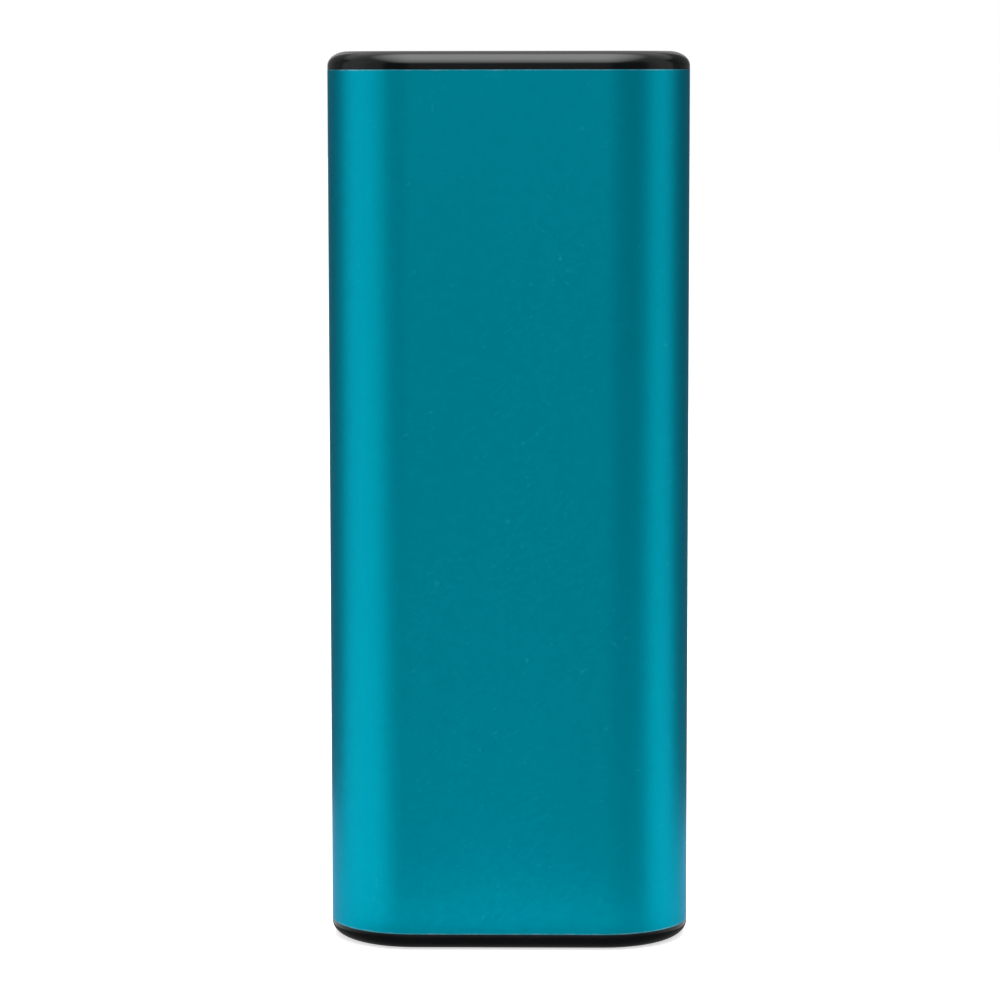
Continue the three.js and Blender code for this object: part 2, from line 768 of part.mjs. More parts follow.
// A can capacitor on the front of the board, drawn upright and then laid forward.
function outputCapacitor() {
  const can = turned([
    [0, 0],
    [capacitorRadius, 0],
    [capacitorRadius, capacitorBaseHeight],
    [capacitorRadius - capacitorGroove, capacitorBaseHeight + capacitorGroove],
    [capacitorRadius, capacitorBaseHeight + 2 * capacitorGroove],
    [capacitorRadius, capacitorHeight - capacitorGroove],
    [capacitorRadius - capacitorGroove, capacitorHeight],
    [0, capacitorHeight],
  ]);
  const base = prism(roundedShape(capacitorBase, capacitorBase, capacitorBaseCorner), capacitorBaseHeight);
  const made = piece("output_capacitor", joined(can, base), canAluminium);
  made.rotation.x = Math.PI / 2;
  made.position.set(capacitorX, -boardThickness / 2 - touchGap, capacitorZ);
  return made;
}

function boardAssembly() {
  const board = new THREE.Group();
  board.add(mainBoard());
  board.add(boardScrew("board_screw_left", -1));
  board.add(boardScrew("board_screw_right", 1));
  board.add(flatPart("power_inductor", inductorSize, inductorX, inductorZ, -1, ferrite));
  board.add(flatPart("boost_chip", chipSize, microX, boostChipZ, -1, blackPlastic));
  board.add(flatPart("charge_chip", chipSize, chargeChipX, chargeChipZ, 1, blackPlastic));
  board.add(heaterTransistor());
  board.add(outputCapacitor());
  board.position.z = boardBottomZ;
  return board;
}

// Cells, strips, rings and pad, drawn with the bottom of the cells at Z = 0

const cellButtonHeight = 0.8;
const cellButtonRadius = 3.1;
const cellBottomRound = 0.6;
const cellShoulder = 0.7;
const cellCrimpDrop = 2.6;
const cellCrimpDepth = 0.45;
const ringHole = 3.8;
const ringInset = 0.9;
const ringThickness = 0.25;

function batteryCell(name, side) {
  const radius = cellDiameter / 2;
  const shoulderZ = cellLength - cellButtonHeight;
  const profile = [
    [0, 0],
    [radius - cellBottomRound, 0],
    [radius, cellBottomRound],
    [radius, shoulderZ - cellCrimpDrop - cellCrimpDepth],
    [radius - cellCrimpDepth, shoulderZ - cellCrimpDrop],
    [radius, shoulderZ - cellCrimpDrop + cellCrimpDepth],
    [radius, shoulderZ - cellShoulder],
    [radius - cellShoulder, shoulderZ],
    [cellButtonRadius, shoulderZ],
    [cellButtonRadius, cellLength],
    [0, cellLength],
  ];
  const made = piece(name, turned(profile), cellWrap);
  made.position.x = side * cellX;
  return made;
}

function cellInsulator(name, side) {
  const bottomZ = cellLength - cellButtonHeight + touchGap;
  const ringRadius = cellDiameter / 2 - ringInset;
  const disc = taperedRod(ringRadius, ringRadius, bottomZ, bottomZ + ringThickness);
  const hole = taperedRod(ringHole, ringHole, bottomZ - overrun, bottomZ + overrun);
  const made = piece(name, cutBy(disc, hole), cardPaper);
  made.position.x = side * cellX;
  return made;
}

const stripWidth = 7;
const stripReach = 3;
const stripCorner = 1.5;
const stripTabWidth = 2.8;
const channelDepth = 2.45;
const channelWidth = 2 * (leadX + leadRadius + slideGap);
const channelFloorY = cellDiameter / 2 + touchGap - channelDepth;
const leadY = channelFloorY + channelDepth / 2;

function nickelStrip() {
  return roundedShape(2 * (cellX + stripReach), stripWidth, stripCorner);
}

function bottomStrip() {
  const bar = prism(nickelStrip(), stripThickness);
  const tab = boxBetween(
    new THREE.Vector3(leadX - stripTabWidth / 2, 0, 0),
    new THREE.Vector3(leadX + stripTabWidth / 2, leadY + leadRadius, stripThickness),
  );
  const made = piece("nickel_strip_bottom", joined(bar, tab), nickel);
  made.position.z = -touchGap - stripThickness;
  return made;
}

function topStrip() {
  return piece("nickel_strip_top", prism(nickelStrip(), stripThickness, cellLength + touchGap), nickel);
}

const foamLength = 26;
const foamWidth = 9;
const foamCorner = 1.5;

function foamPad() {
  const base = cellLength + stripThickness + 2 * touchGap;
  const pad = prism(roundedShape(foamLength, foamWidth, foamCorner), foamThickness, base);
  return piece("foam_pad", pad, greyFoam);
}

const thermistorRadius = 1.05;
const thermistorBody = 2.4;

// The bead lies against the front film, half way up the hollow between the cells.
function thermistor() {
  const bead = new THREE.CapsuleGeometry(thermistorRadius, thermistorBody, cornerSteps, smallRoundSides);
  const made = piece("thermistor", bead.rotateX(Math.PI / 2), leadSleeve);
  made.position.set(0, -(cellDiameter / 2 + touchGap - thermistorRadius), cellLength / 2);
  return made;
}

function batteryPack() {
  const pack = new THREE.Group();
  pack.add(batteryCell("battery_cell_left", -1));
  pack.add(batteryCell("battery_cell_right", 1));
  pack.add(cellInsulator("cell_insulator_left", -1));
  pack.add(cellInsulator("cell_insulator_right", 1));
  pack.add(bottomStrip(), topStrip(), foamPad(), thermistor());
  pack.position.z = cellBottomZ;
  return pack;
}

// The lead stands on the tab of the bottom strip, climbs the rear hollow between the cells and bends
// forward over the deck to the rear of the board.

const leadRun = 3.4;
const leadFoot = 2;
const leadSides = 8;
const leadSteps = 48;

function negativeLead() {
  const boardY = boardThickness / 2 + touchGap + leadRadius;
  const middleY = (leadY + boardY) / 2;
  const route = new THREE.CurvePath();
  const start = new THREE.Vector3(leadX, leadY, cellBottomZ);
  const bend = new THREE.Vector3(leadX, leadY, deckTopZ);
  const over = new THREE.Vector3(leadX, middleY, deckTopZ + leadRun);
  const land = new THREE.Vector3(leadX, boardY, deckTopZ + 2 * leadRun);
  const end = new THREE.Vector3(leadX, boardY, deckTopZ + 2 * leadRun + leadFoot);
  route.add(new THREE.LineCurve3(start, bend));
  route.add(new THREE.QuadraticBezierCurve3(bend, new THREE.Vector3(leadX, leadY, over.z), over));
  route.add(new THREE.QuadraticBezierCurve3(over, new THREE.Vector3(leadX, boardY, over.z), land));
  route.add(new THREE.LineCurve3(land, end));
  const form = new THREE.ExtrudeGeometry(polygonShape(leadRadius, leadSides), {
    steps: leadSteps,
    extrudePath: route,
    bevelEnabled: false,
  });
  return piece("negative_lead", form, leadSleeve);
}

// Heaters, drawn for the front. The rear one is the same piece turned half way round.

const spreaderMargin = 0.4;
const filmMargin = 1;
const plateCorner = 1.5;
const tailRise = 0.8;
const tailSweep = 5.4;
const tailFoot = 2;
const tailSteps = 8;
const flatHalfWidth = shellWidth / 2 - shellCorner;
const plateHeight = deckBottomZ - floorTopZ - 2 * touchGap;
const plateMiddleZ = (deckBottomZ + floorTopZ) / 2;
const filmY = -(cellDiameter / 2 + 2 * touchGap + filmThickness / 2);

function heatSpreader(name, turn) {
  const outline = roundedShape(2 * (flatHalfWidth - spreaderMargin), plateHeight, plateCorner);
  const depth = cavityDepth / 2 - touchGap - spreaderThickness / 2;
  const plate = uprightPlate(outline, spreaderThickness).translate(0, -depth, plateMiddleZ);
  const made = piece(name, plate, spreaderAluminium);
  made.rotation.z = turn;
  return made;
}

function heaterFilm(name, turn) {
  const width = 2 * (flatHalfWidth - spreaderMargin - filmMargin / 2);
  const sheet = uprightPlate(roundedShape(width, plateHeight - 2 * filmMargin, plateCorner), filmThickness);
  const boardY = -(boardThickness / 2 + touchGap + filmThickness / 2);
  const bendZ = deckTopZ + tailRise;
  const landZ = bendZ + tailSweep;
  const sweep = new THREE.CubicBezierCurve(
    new THREE.Vector2(filmY, bendZ),
    new THREE.Vector2(filmY, (bendZ + landZ) / 2),
    new THREE.Vector2(boardY, (bendZ + landZ) / 2),
    new THREE.Vector2(boardY, landZ),
  );
  const line = [
    new THREE.Vector2(filmY, deckBottomZ - 2 * filmMargin - touchGap),
    ...sweep.getPoints(tailSteps),
    new THREE.Vector2(boardY, landZ + tailFoot),
  ];
  const tail = sideways(ribbonShape(line, filmThickness), tailWidth).translate(tailX, 0, 0);
  const made = piece(name, joined(sheet.translate(0, filmY, plateMiddleZ), tail), amberFilm);
  made.rotation.z = turn;
  return made;
}

// Carrier

const tailWindowHeight = 4.5;
const leadNotchHeight = 4.5;

// A block that reaches from a depth out through the wall, on the front or the rear side.
function sideCut(side, middleX, width, depth, lowZ, highZ) {
  const near = side * depth;
  const far = side * shellDepth;
  return boxBetween(
    new THREE.Vector3(middleX - width / 2, Math.min(near, far), lowZ),
    new THREE.Vector3(middleX + width / 2, Math.max(near, far), highZ),
  );
}

// Snap ramps that stand in the windows of a skirt. The flat side of a ramp holds the cap on.
function latchRamps(middleZ, away) {
  const faceY = shellDepth / 2 - collarInset;
  const ramps = [];
  for (const side of [-1, 1]) {
    const catchZ = middleZ + (away * latchHeight) / 2;
    const leadZ = middleZ - (away * latchHeight) / 2;
    const section = new THREE.Shape([
      new THREE.Vector2(side * (faceY - collarWall / 2), catchZ),
      new THREE.Vector2(side * (faceY + latchBite), catchZ),
      new THREE.Vector2(side * (faceY + latchBite), (catchZ + middleZ) / 2),
      new THREE.Vector2(side * faceY, leadZ),
      new THREE.Vector2(side * (faceY - collarWall / 2), leadZ),
    ]);
    for (const place of [-1, 1]) {
      ramps.push(sideways(section, latchWidth).translate((place * latchSpacing) / 2, 0, 0));
    }
  }
  return ramps;
}

function cellBores() {
  const bore = taperedRod(boreRadius, boreRadius, floorTopZ, deckBottomZ);
  return [bore.clone().translate(-cellX, 0, 0), bore.clone().translate(cellX, 0, 0)];
}

function middlePocket(width, lowZ, highZ) {
  const half = width / 2 + slideGap;
  return boxBetween(new THREE.Vector3(-cellX, -half, lowZ), new THREE.Vector3(cellX, half, highZ));
}

function chassisBlank() {
  const bodyTopZ = ceilingZ - skirtDepth - slideGap;
  const collarBottomZ = capLip + touchGap;
  const collarTopZ = ceilingZ - touchGap;
  const body = planPrism(planInset(shellWall + slideGap), bodyTopZ - floorBottomZ, floorBottomZ);
  const collar = planPrism(planInset(collarInset), collarTopZ - collarBottomZ, collarBottomZ);
  const ramps = [...latchRamps(ceilingZ - latchDrop, -1), ...latchRamps(capLip + latchDrop, 1)];
  const pocketDepth = cellDiameter / 2 + touchGap;
  const cuts = [
    planPrism(planInset(bayInset), floorBottomZ - collarBottomZ + overrun, collarBottomZ - overrun),
    planPrism(planInset(bayInset), collarTopZ - deckTopZ + overrun, deckTopZ),
    ...cellBores(),
    middlePocket(stripWidth, floorTopZ, cellBottomZ),
    middlePocket(foamWidth, cellTopZ, deckBottomZ),
    boxBetween(
      new THREE.Vector3(-boardHalfWidth - touchGap, -boardThickness / 2 - touchGap, deckTopZ),
      new THREE.Vector3(boardHalfWidth + touchGap, boardThickness / 2 + touchGap, collarTopZ + overrun),
    ),
  ];
  for (const side of [-1, 1]) {
    cuts.push(sideCut(side, 0, 2 * flatHalfWidth, pocketDepth, floorTopZ, deckBottomZ));
    cuts.push(sideCut(side, 0, channelWidth, channelFloorY, floorTopZ, deckBottomZ));
    const windowTop = deckTopZ + tailWindowHeight;
    const windowX = -side * tailX;
    const windowWidth = tailWidth + 2 * slideGap;
    cuts.push(sideCut(side, windowX, windowWidth, bayHalfDepth - overrun, deckTopZ, windowTop));
    cuts.push(sideCut(side, windowX, windowWidth, pocketDepth, deckBottomZ - overrun, windowTop));
  }
  return cutBy(joined(body, collar, ...ramps), ...cuts);
}

// The half in front of the middle plane, or the half behind it.
function chassisHalf(blank, side) {
  const near = (side * touchGap) / 2;
  const far = side * shellDepth;
  const room = boxBetween(
    new THREE.Vector3(-shellWidth, Math.min(near, far), 0),
    new THREE.Vector3(shellWidth, Math.max(near, far), ceilingZ),
  );
  return common(blank, room);
}

function chassisRear(blank) {
  const notchWidth = 2 * (leadRadius + freeGap);
  const notchDepth = leadY - leadRadius - freeGap;
  const notch = sideCut(1, leadX, notchWidth, notchDepth, deckBottomZ - overrun, deckTopZ + leadNotchHeight);
  const tabSlot = boxBetween(
    new THREE.Vector3(leadX - stripTabWidth / 2 - slideGap, 0, floorTopZ),
    new THREE.Vector3(leadX + stripTabWidth / 2 + slideGap, shellDepth / 2, cellBottomZ),
  );
  const bossFace = boardThickness / 2 + touchGap;
  const trim = planPrism(planInset(collarInset), ceilingZ, 0);
  const bosses = [];
  const pilots = [];
  const bossZ = boardBottomZ + screwRise;
  for (const side of [-1, 1]) {
    const boss = crossRod(bossRadius, bossFace, shellDepth / 2).translate(side * screwX, 0, bossZ);
    bosses.push(common(boss, trim));
    const pilot = crossRod(screwShankRadius + touchGap, 0, screwLength + freeGap);
    pilots.push(pilot.translate(side * screwX, 0, bossZ));
  }
  const half = cutBy(chassisHalf(blank, 1), notch, tabSlot);
  return cutBy(joined(half, ...bosses), ...pilots);
}

function chassisHalves() {
  const blank = chassisBlank();
  return [
    piece("chassis_front", chassisHalf(blank, -1), greyNylon),
    piece("chassis_rear", chassisRear(blank), greyNylon),
  ];
}

// The whole object

const handWarmer = new THREE.Group();
handWarmer.add(shellTube(), topCap(), bottomCap());
handWarmer.add(powerButton(), switchPlunger(), tactSwitch());
handWarmer.add(lightPipe(), ...indicatorLamps());
handWarmer.add(usbSocket(), microSocket(), boardAssembly());
handWarmer.add(batteryPack(), negativeLead(), ...chassisHalves());
handWarmer.add(heatSpreader("heat_spreader_front", 0), heatSpreader("heat_spreader_rear", Math.PI));
handWarmer.add(heaterFilm("heater_film_front", 0), heaterFilm("heater_film_rear", Math.PI));

export default handWarmer;
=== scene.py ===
"""A rechargeable hand warmer: an anodised aluminium tube between two glossy black end caps, with the cells,
heating films and circuit board inside. It stands upright in a white studio.
Metres, +Z up, front towards -Y."""

import math

import bmesh
import bpy
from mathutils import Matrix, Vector


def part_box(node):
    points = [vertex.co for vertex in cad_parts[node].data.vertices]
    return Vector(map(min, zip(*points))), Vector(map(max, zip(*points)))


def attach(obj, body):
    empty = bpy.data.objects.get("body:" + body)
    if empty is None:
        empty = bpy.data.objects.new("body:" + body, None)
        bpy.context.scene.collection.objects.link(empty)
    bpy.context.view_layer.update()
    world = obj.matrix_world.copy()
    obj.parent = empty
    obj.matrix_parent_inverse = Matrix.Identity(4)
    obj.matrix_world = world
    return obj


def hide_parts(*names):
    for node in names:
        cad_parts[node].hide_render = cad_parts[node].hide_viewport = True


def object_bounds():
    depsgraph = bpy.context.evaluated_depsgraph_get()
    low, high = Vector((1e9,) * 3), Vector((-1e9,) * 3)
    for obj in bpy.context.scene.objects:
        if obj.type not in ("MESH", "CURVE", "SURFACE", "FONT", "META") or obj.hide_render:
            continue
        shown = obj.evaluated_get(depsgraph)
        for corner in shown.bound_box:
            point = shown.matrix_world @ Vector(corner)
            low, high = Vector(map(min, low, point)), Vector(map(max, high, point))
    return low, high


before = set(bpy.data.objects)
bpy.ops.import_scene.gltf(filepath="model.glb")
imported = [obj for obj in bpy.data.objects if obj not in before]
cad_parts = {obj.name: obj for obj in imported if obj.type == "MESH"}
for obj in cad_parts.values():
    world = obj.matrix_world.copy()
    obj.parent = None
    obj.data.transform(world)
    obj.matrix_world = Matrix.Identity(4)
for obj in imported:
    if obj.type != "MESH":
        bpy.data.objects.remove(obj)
cad_low, cad_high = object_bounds()

MM = 0.001

# Carrier
# Two halves moulded in glass-filled nylon, which meet at the middle plane and hold the cells and the board.
# The solids of the frame stay, with a matte finish that shows the fibres and faint flow marks.


class Value:
    """A node's output. Sums and comparisons of values add Math nodes."""

    def __init__(self, finish, socket):
        self.finish = finish
        self.socket = socket

    def math(self, operation, first, second):
        return self.finish.add("ShaderNodeMath", {"operation": operation}, {0: first, 1: second})

    def __add__(self, other):
        return self.math("ADD", self, other)

    def __radd__(self, other):
        return self.math("ADD", other, self)

    def __mul__(self, other):
        return self.math("MULTIPLY", self, other)

    def __rmul__(self, other):
        return self.math("MULTIPLY", other, self)

    def __truediv__(self, other):
        return self.math("DIVIDE", self, other)

    def __gt__(self, other):
        return self.math("GREATER_THAN", self, other)

    def __lt__(self, other):
        return self.math("LESS_THAN", self, other)

    def __abs__(self):
        return self.math("ABSOLUTE", self, 0.0)

    def clamped(self):
        return self.finish.add("ShaderNodeClamp", {}, {"Value": self})


class Nodes:
    """A node tree to which nodes are added with their settings first and then their inputs."""

    def __init__(self, tree):
        self.tree = tree

    def add(self, kind, settings, inputs, output=0):
        node = self.tree.nodes.new(kind)
        for name, value in settings.items():
            if name == "stops":
                self.set_stops(node.color_ramp, value)
            else:
                setattr(node, name, value)
        for name, value in inputs.items():
            self.join(node.inputs[name], value)
        return Value(self, node.outputs[output])

    def set_stops(self, ramp, stops):
        while len(ramp.elements) < len(stops):
            ramp.elements.new(0.5)
        for element, (position, level) in zip(ramp.elements, stops):
            element.position = position
            element.color = (level, level, level, 1)

    def join(self, socket, value):
        if isinstance(value, Value):
            self.tree.links.new(value.socket, socket)
        elif isinstance(value, tuple) and len(value) == 3 and socket.type == "RGBA":
            socket.default_value = (*value, 1)
        else:
            socket.default_value = value


class Finish(Nodes):
    """A material with one Principled shader, whose patterns follow the object's own coordinates."""

    def __init__(self, name, **sockets):
        self.material = bpy.data.materials.new(name)
        self.material.use_nodes = True
        super().__init__(self.material.node_tree)
        self.shader = self.tree.nodes["Principled BSDF"]
        self.place = self.add("ShaderNodeTexCoord", {}, {}, "Object")
        for socket, value in sockets.items():
            self.put(socket.replace("_", " "), value)

    def put(self, name, value):
        self.join(self.shader.inputs[name], value)

    def stretched(self, scale):
        return self.add("ShaderNodeMapping", {}, {"Vector": self.place, "Scale": scale})

    def noise(self, scale, detail=2.0, roughness=0.5, vector=None):
        inputs = {"Vector": vector or self.place, "Scale": scale, "Detail": detail, "Roughness": roughness}
        return self.add("ShaderNodeTexNoise", {}, inputs)

    def cells(self, scale, vector=None):
        return self.add("ShaderNodeTexVoronoi", {}, {"Vector": vector or self.place, "Scale": scale})

    def along(self, axis):
        return self.add("ShaderNodeSeparateXYZ", {}, {"Vector": self.place}, axis)

    def steps(self, value, *stops):
        return self.add("ShaderNodeValToRGB", {"stops": stops}, {"Fac": value})

    def blend(self, share, first, second):
        inputs = {0: share, 6: first, 7: second}
        return self.add("ShaderNodeMix", {"data_type": "RGBA"}, inputs, 2)

    def relief(self, height, depth, strength=1.0):
        inputs = {"Height": height, "Distance": depth, "Strength": strength}
        self.put("Normal", self.add("ShaderNodeBump", {}, inputs))


def dress(finish, *nodes):
    """Gives nodes of the frame a finish."""
    for node in nodes:
        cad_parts[node].material_slots[0].material = finish.material


carrier = Finish("carrier_nylon", IOR=1.53)
carrier_fibres = carrier.noise(2600.0, 4.0, 0.6)
carrier_flow = carrier.noise(90.0, 3.0, 0.55, carrier.stretched((1.0, 1.0, 0.25)))
carrier.put("Base Color", carrier.blend(carrier_flow, (0.017, 0.018, 0.02), (0.034, 0.036, 0.04)))
carrier.put("Roughness", 0.48 + carrier_fibres * 0.25)
carrier.relief(carrier_fibres, 0.02 * MM)
dress(carrier, "chassis_front", "chassis_rear")

# Cells
# Two steel cans in plain heat-shrink sleeves, with a card ring on each positive end. The sleeve covers
# the can and turns over its edges, and the bare cap shows in the middle of the ring.

cell_cap_rise = 1.1 * MM
cell_sleeve_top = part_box("battery_cell_left")[1].z - cell_cap_rise

cell = Finish("cell_sleeve", IOR=1.5)
cell_bare = cell.along("Z") > cell_sleeve_top
cell_wrinkle = cell.noise(320.0, 3.0, 0.5, cell.stretched((1.0, 1.0, 0.12)))
cell_tone = cell.blend(cell_wrinkle, (0.018, 0.11, 0.33), (0.035, 0.17, 0.47))
cell.put("Base Color", cell.blend(cell_bare, cell_tone, (0.56, 0.55, 0.52)))
cell.put("Metallic", cell_bare)
cell.put("Roughness", 0.26 + cell_wrinkle * 0.16)
cell.relief(cell_wrinkle, 0.05 * MM)
dress(cell, "battery_cell_left", "battery_cell_right")

card = Finish("ring_card", Specular_IOR_Level=0.3)
card_fibres = card.noise(1500.0, 5.0, 0.65)
card.put("Base Color", card.blend(card_fibres, (0.5, 0.46, 0.34), (0.72, 0.69, 0.57)))
card.put("Roughness", 0.8 + card_fibres * 0.15)
card.relief(card_fibres, 0.015 * MM)
dress(card, "cell_insulator_left", "cell_insulator_right")

# Strips, pad, sensor and lead
# Rolled nickel strip is spot welded to the cans in pairs of small dents. The pad is closed-cell foam, and
# the sensor and the lead have soft silicone sleeves.

nickel = Finish("rolled_nickel", Metallic=1.0)
nickel_lines = nickel.noise(900.0, 3.0, 0.6, nickel.stretched((0.08, 1.0, 1.0)))
nickel_dents = nickel.cells(650.0)
nickel.put("Base Color", nickel.blend(nickel_lines, (0.46, 0.445, 0.4), (0.64, 0.625, 0.57)))
nickel.put("Roughness", 0.24 + nickel_lines * 0.22)
nickel.relief(nickel_lines + nickel_dents * 0.3, 0.01 * MM)
dress(nickel, "nickel_strip_top", "nickel_strip_bottom")

foam = Finish("closed_cell_foam", Specular_IOR_Level=0.2)
foam_pores = foam.cells(1700.0)
foam.put("Base Color", foam.blend(foam_pores, (0.03, 0.032, 0.035), (0.085, 0.09, 0.095)))
foam.put("Roughness", 0.85 + foam_pores * 0.1)
foam.relief(foam_pores, 0.15 * MM)
dress(foam, "foam_pad")

sleeve = Finish("silicone_sleeve", IOR=1.42)
sleeve_dust = sleeve.noise(1100.0, 3.0, 0.6)
sleeve.put("Base Color", sleeve.blend(sleeve_dust, (0.008, 0.008, 0.009), (0.02, 0.02, 0.021)))
sleeve.put("Roughness", 0.42 + sleeve_dust * 0.2)
sleeve.relief(sleeve_dust, 0.008 * MM)
dress(sleeve, "thermistor", "negative_lead")

# Heaters
# Each is an amber polyimide film with an etched track that winds from side to side, and an aluminium plate
# that spreads its heat over the wall of the tube.

film_half_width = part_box("heater_film_front")[1].x
track_pitch = 2.4 * MM
track_width_share = 0.42
track_margin = 2.2 * MM
track_turn = 0.9 * MM

film = Finish("heating_film", IOR=1.6, Roughness=0.3)
film_x = film.along("X")
film_z = film.along("Z")
film_turns = film.add("ShaderNodeMath", {"operation": "PINGPONG"}, {0: film_z, 1: track_pitch / 2})
film_track = film_turns > track_pitch / 2 * (1 - track_width_share)
film_inside = abs(film_x) < film_half_width - track_margin
film_ends = (abs(film_x) > film_half_width - track_margin - track_turn) * film_inside
film_metal = ((film_track * film_inside) + film_ends).clamped()
film_grain = film.noise(700.0, 3.0, 0.5)
film_base = film.blend(film_grain, (0.33, 0.1, 0.006), (0.48, 0.17, 0.014))
film.put("Base Color", film.blend(film_metal, film_base, (0.62, 0.3, 0.1)))
film.relief(film_metal, 0.03 * MM)
dress(film, "heater_film_front", "heater_film_rear")

spreader = Finish("rolled_aluminium", Metallic=1.0)
spreader_lines = spreader.noise(700.0, 4.0, 0.6, spreader.stretched((1.0, 1.0, 0.05)))
spreader.put("Base Color", spreader.blend(spreader_lines, (0.56, 0.575, 0.59), (0.72, 0.735, 0.75)))
spreader.put("Roughness", 0.3 + spreader_lines * 0.25)
spreader.relief(spreader_lines, 0.006 * MM)
dress(spreader, "heat_spreader_front", "heat_spreader_rear")

# Board and its parts
# A glass-fibre board under green solder mask, held by two screws. The copper tracks under the mask lift it
# a little and lighten it. The inductor is pressed powder, the capacitor a drawn can, and the lamps and the
# plunger of the switch are pale plastic.

board = Finish("green_board", IOR=1.5)
board_weave = board.noise(1500.0, 2.0, 0.5)
board_tracks = board.steps(board.cells(420.0), (0.35, 0.0), (0.42, 1.0))
board.put("Base Color", board.blend(board_tracks, (0.006, 0.06, 0.022), (0.018, 0.15, 0.055)))
board.put("Roughness", 0.28 + board_weave * 0.14)
board.relief(board_tracks, 0.03 * MM)
dress(board, "main_board")

screw_steel = Finish("screw_steel", Metallic=1.0)
screw_turning = screw_steel.noise(2400.0, 3.0, 0.6)
screw_steel.put("Base Color", screw_steel.blend(screw_turning, (0.38, 0.385, 0.4), (0.56, 0.565, 0.58)))
screw_steel.put("Roughness", 0.25 + screw_turning * 0.2)
dress(screw_steel, "board_screw_left", "board_screw_right")

powder = Finish("pressed_powder", Specular_IOR_Level=0.35)
powder_grains = powder.noise(5200.0, 4.0, 0.7)
powder.put("Base Color", powder.blend(powder_grains, (0.024, 0.026, 0.03), (0.075, 0.08, 0.088)))
powder.put("Roughness", 0.62 + powder_grains * 0.25)
powder.relief(powder_grains, 0.03 * MM)
dress(powder, "power_inductor")

drawn_can = Finish("drawn_can", Metallic=1.0)
drawn_lines = drawn_can.noise(1300.0, 3.0, 0.6, drawn_can.stretched((1.0, 0.06, 1.0)))
drawn_can.put("Base Color", drawn_can.blend(drawn_lines, (0.5, 0.51, 0.53), (0.68, 0.69, 0.71)))
drawn_can.put("Roughness", 0.22 + drawn_lines * 0.2)
dress(drawn_can, "output_capacitor")

package = Finish("black_package", IOR=1.5)
package_sparks = package.noise(6500.0, 3.0, 0.7)
package.put("Base Color", package.blend(package_sparks, (0.01, 0.01, 0.011), (0.03, 0.03, 0.032)))
package.put("Roughness", 0.45 + package_sparks * 0.25)
package.relief(package_sparks, 0.01 * MM)
dress(package, "boost_chip", "charge_chip", "heater_transistor", "tact_switch")

pale_plastic = Finish("pale_plastic", IOR=1.5)
pale_cloud = pale_plastic.noise(420.0, 3.0, 0.5)
pale_plastic.put("Base Color", pale_plastic.blend(pale_cloud, (0.7, 0.69, 0.64), (0.83, 0.82, 0.78)))
pale_plastic.put("Roughness", 0.4 + pale_cloud * 0.15)
dress(pale_plastic, "switch_plunger", *["indicator_led_%d" % (i + 1) for i in range(4)])

# Power output socket
# A tin-plated steel shell, folded from strip, with a moulded block and tongue and four gold-flashed
# contacts. Four sprung fingers, stamped out of its broad walls, bulge inwards and grip the plug, and a tab
# at each side is soldered to the board.

merge_reach = 0.001 * MM
sharp_angle = 1.2


def only(obj):
    bpy.ops.object.select_all(action="DESELECT")
    obj.select_set(True)
    bpy.context.view_layer.objects.active = obj


def start(name):
    """Names the primitive that was just added, and opens it for editing."""
    obj = bpy.context.object
    obj.name = name
    obj.data.name = name
    only(obj)
    bpy.ops.object.transform_apply(location=True, rotation=True, scale=True)
    bpy.ops.object.mode_set(mode="EDIT")
    return obj


def pick(obj, kind, test):
    """Selects the faces, edges or corners that pass a test."""
    bpy.ops.mesh.select_mode(type=kind)
    bpy.ops.mesh.select_all(action="DESELECT")
    mesh = bmesh.from_edit_mesh(obj.data)
    parts = {"FACE": mesh.faces, "EDGE": mesh.edges, "VERT": mesh.verts}[kind]
    for part in parts:
        if test(part):
            part.select_set(True)
    mesh.select_flush_mode()
    bmesh.update_edit_mesh(obj.data)


def middle_of(part):
    return sum((v.co for v in part.verts), Vector()) / len(part.verts)


def lies_level(face):
    return abs(face.normal.z) > 0.9


def pull(x, y, z):
    bpy.ops.mesh.extrude_region_move(TRANSFORM_OT_translate={"value": (x, y, z)})


def stretch(x, y, z, middle):
    bpy.ops.transform.resize(value=(x, y, z), center_override=middle)


def rounded_face(name, width, depth, corner, middle, steps=6):
    """A flat face with round corners, left open for editing."""
    bpy.ops.mesh.primitive_plane_add(size=1, location=middle)
    bpy.context.object.scale = (width, depth, 1)
    obj = start(name)
    bpy.ops.mesh.select_mode(type="VERT")
    bpy.ops.mesh.select_all(action="SELECT")
    bpy.ops.mesh.bevel(offset=corner, segments=steps, affect="VERTICES", clamp_overlap=True)
    bpy.ops.mesh.select_mode(type="FACE")
    bpy.ops.mesh.select_all(action="SELECT")
    return obj


def close(obj):
    """Leaves editing with doubled corners merged and the faces turned outwards."""
    bpy.ops.mesh.select_all(action="SELECT")
    bpy.ops.mesh.remove_doubles(threshold=merge_reach)
    bpy.ops.mesh.normals_make_consistent(inside=False)
    bpy.ops.object.mode_set(mode="OBJECT")
    return obj


def finished_by(obj, kind, **settings):
    """Adds a modifier with its settings and applies it."""
    only(obj)
    modifier = obj.modifiers.new(kind.title(), kind)
    for name, value in settings.items():
        setattr(modifier, name, value)
    bpy.ops.object.modifier_apply(modifier=modifier.name)


def smooth(obj, degrees=32.0):
    only(obj)
    bpy.ops.object.shade_smooth_by_angle(angle=math.radians(degrees))
    finished_by(obj, "WEIGHTED_NORMAL", weight=90, keep_sharp=True)


def soften(obj, width, segments):
    """Rounds the sharp edges."""
    finished_by(obj, "BEVEL", width=width, segments=segments, limit_method="ANGLE", angle_limit=sharp_angle)


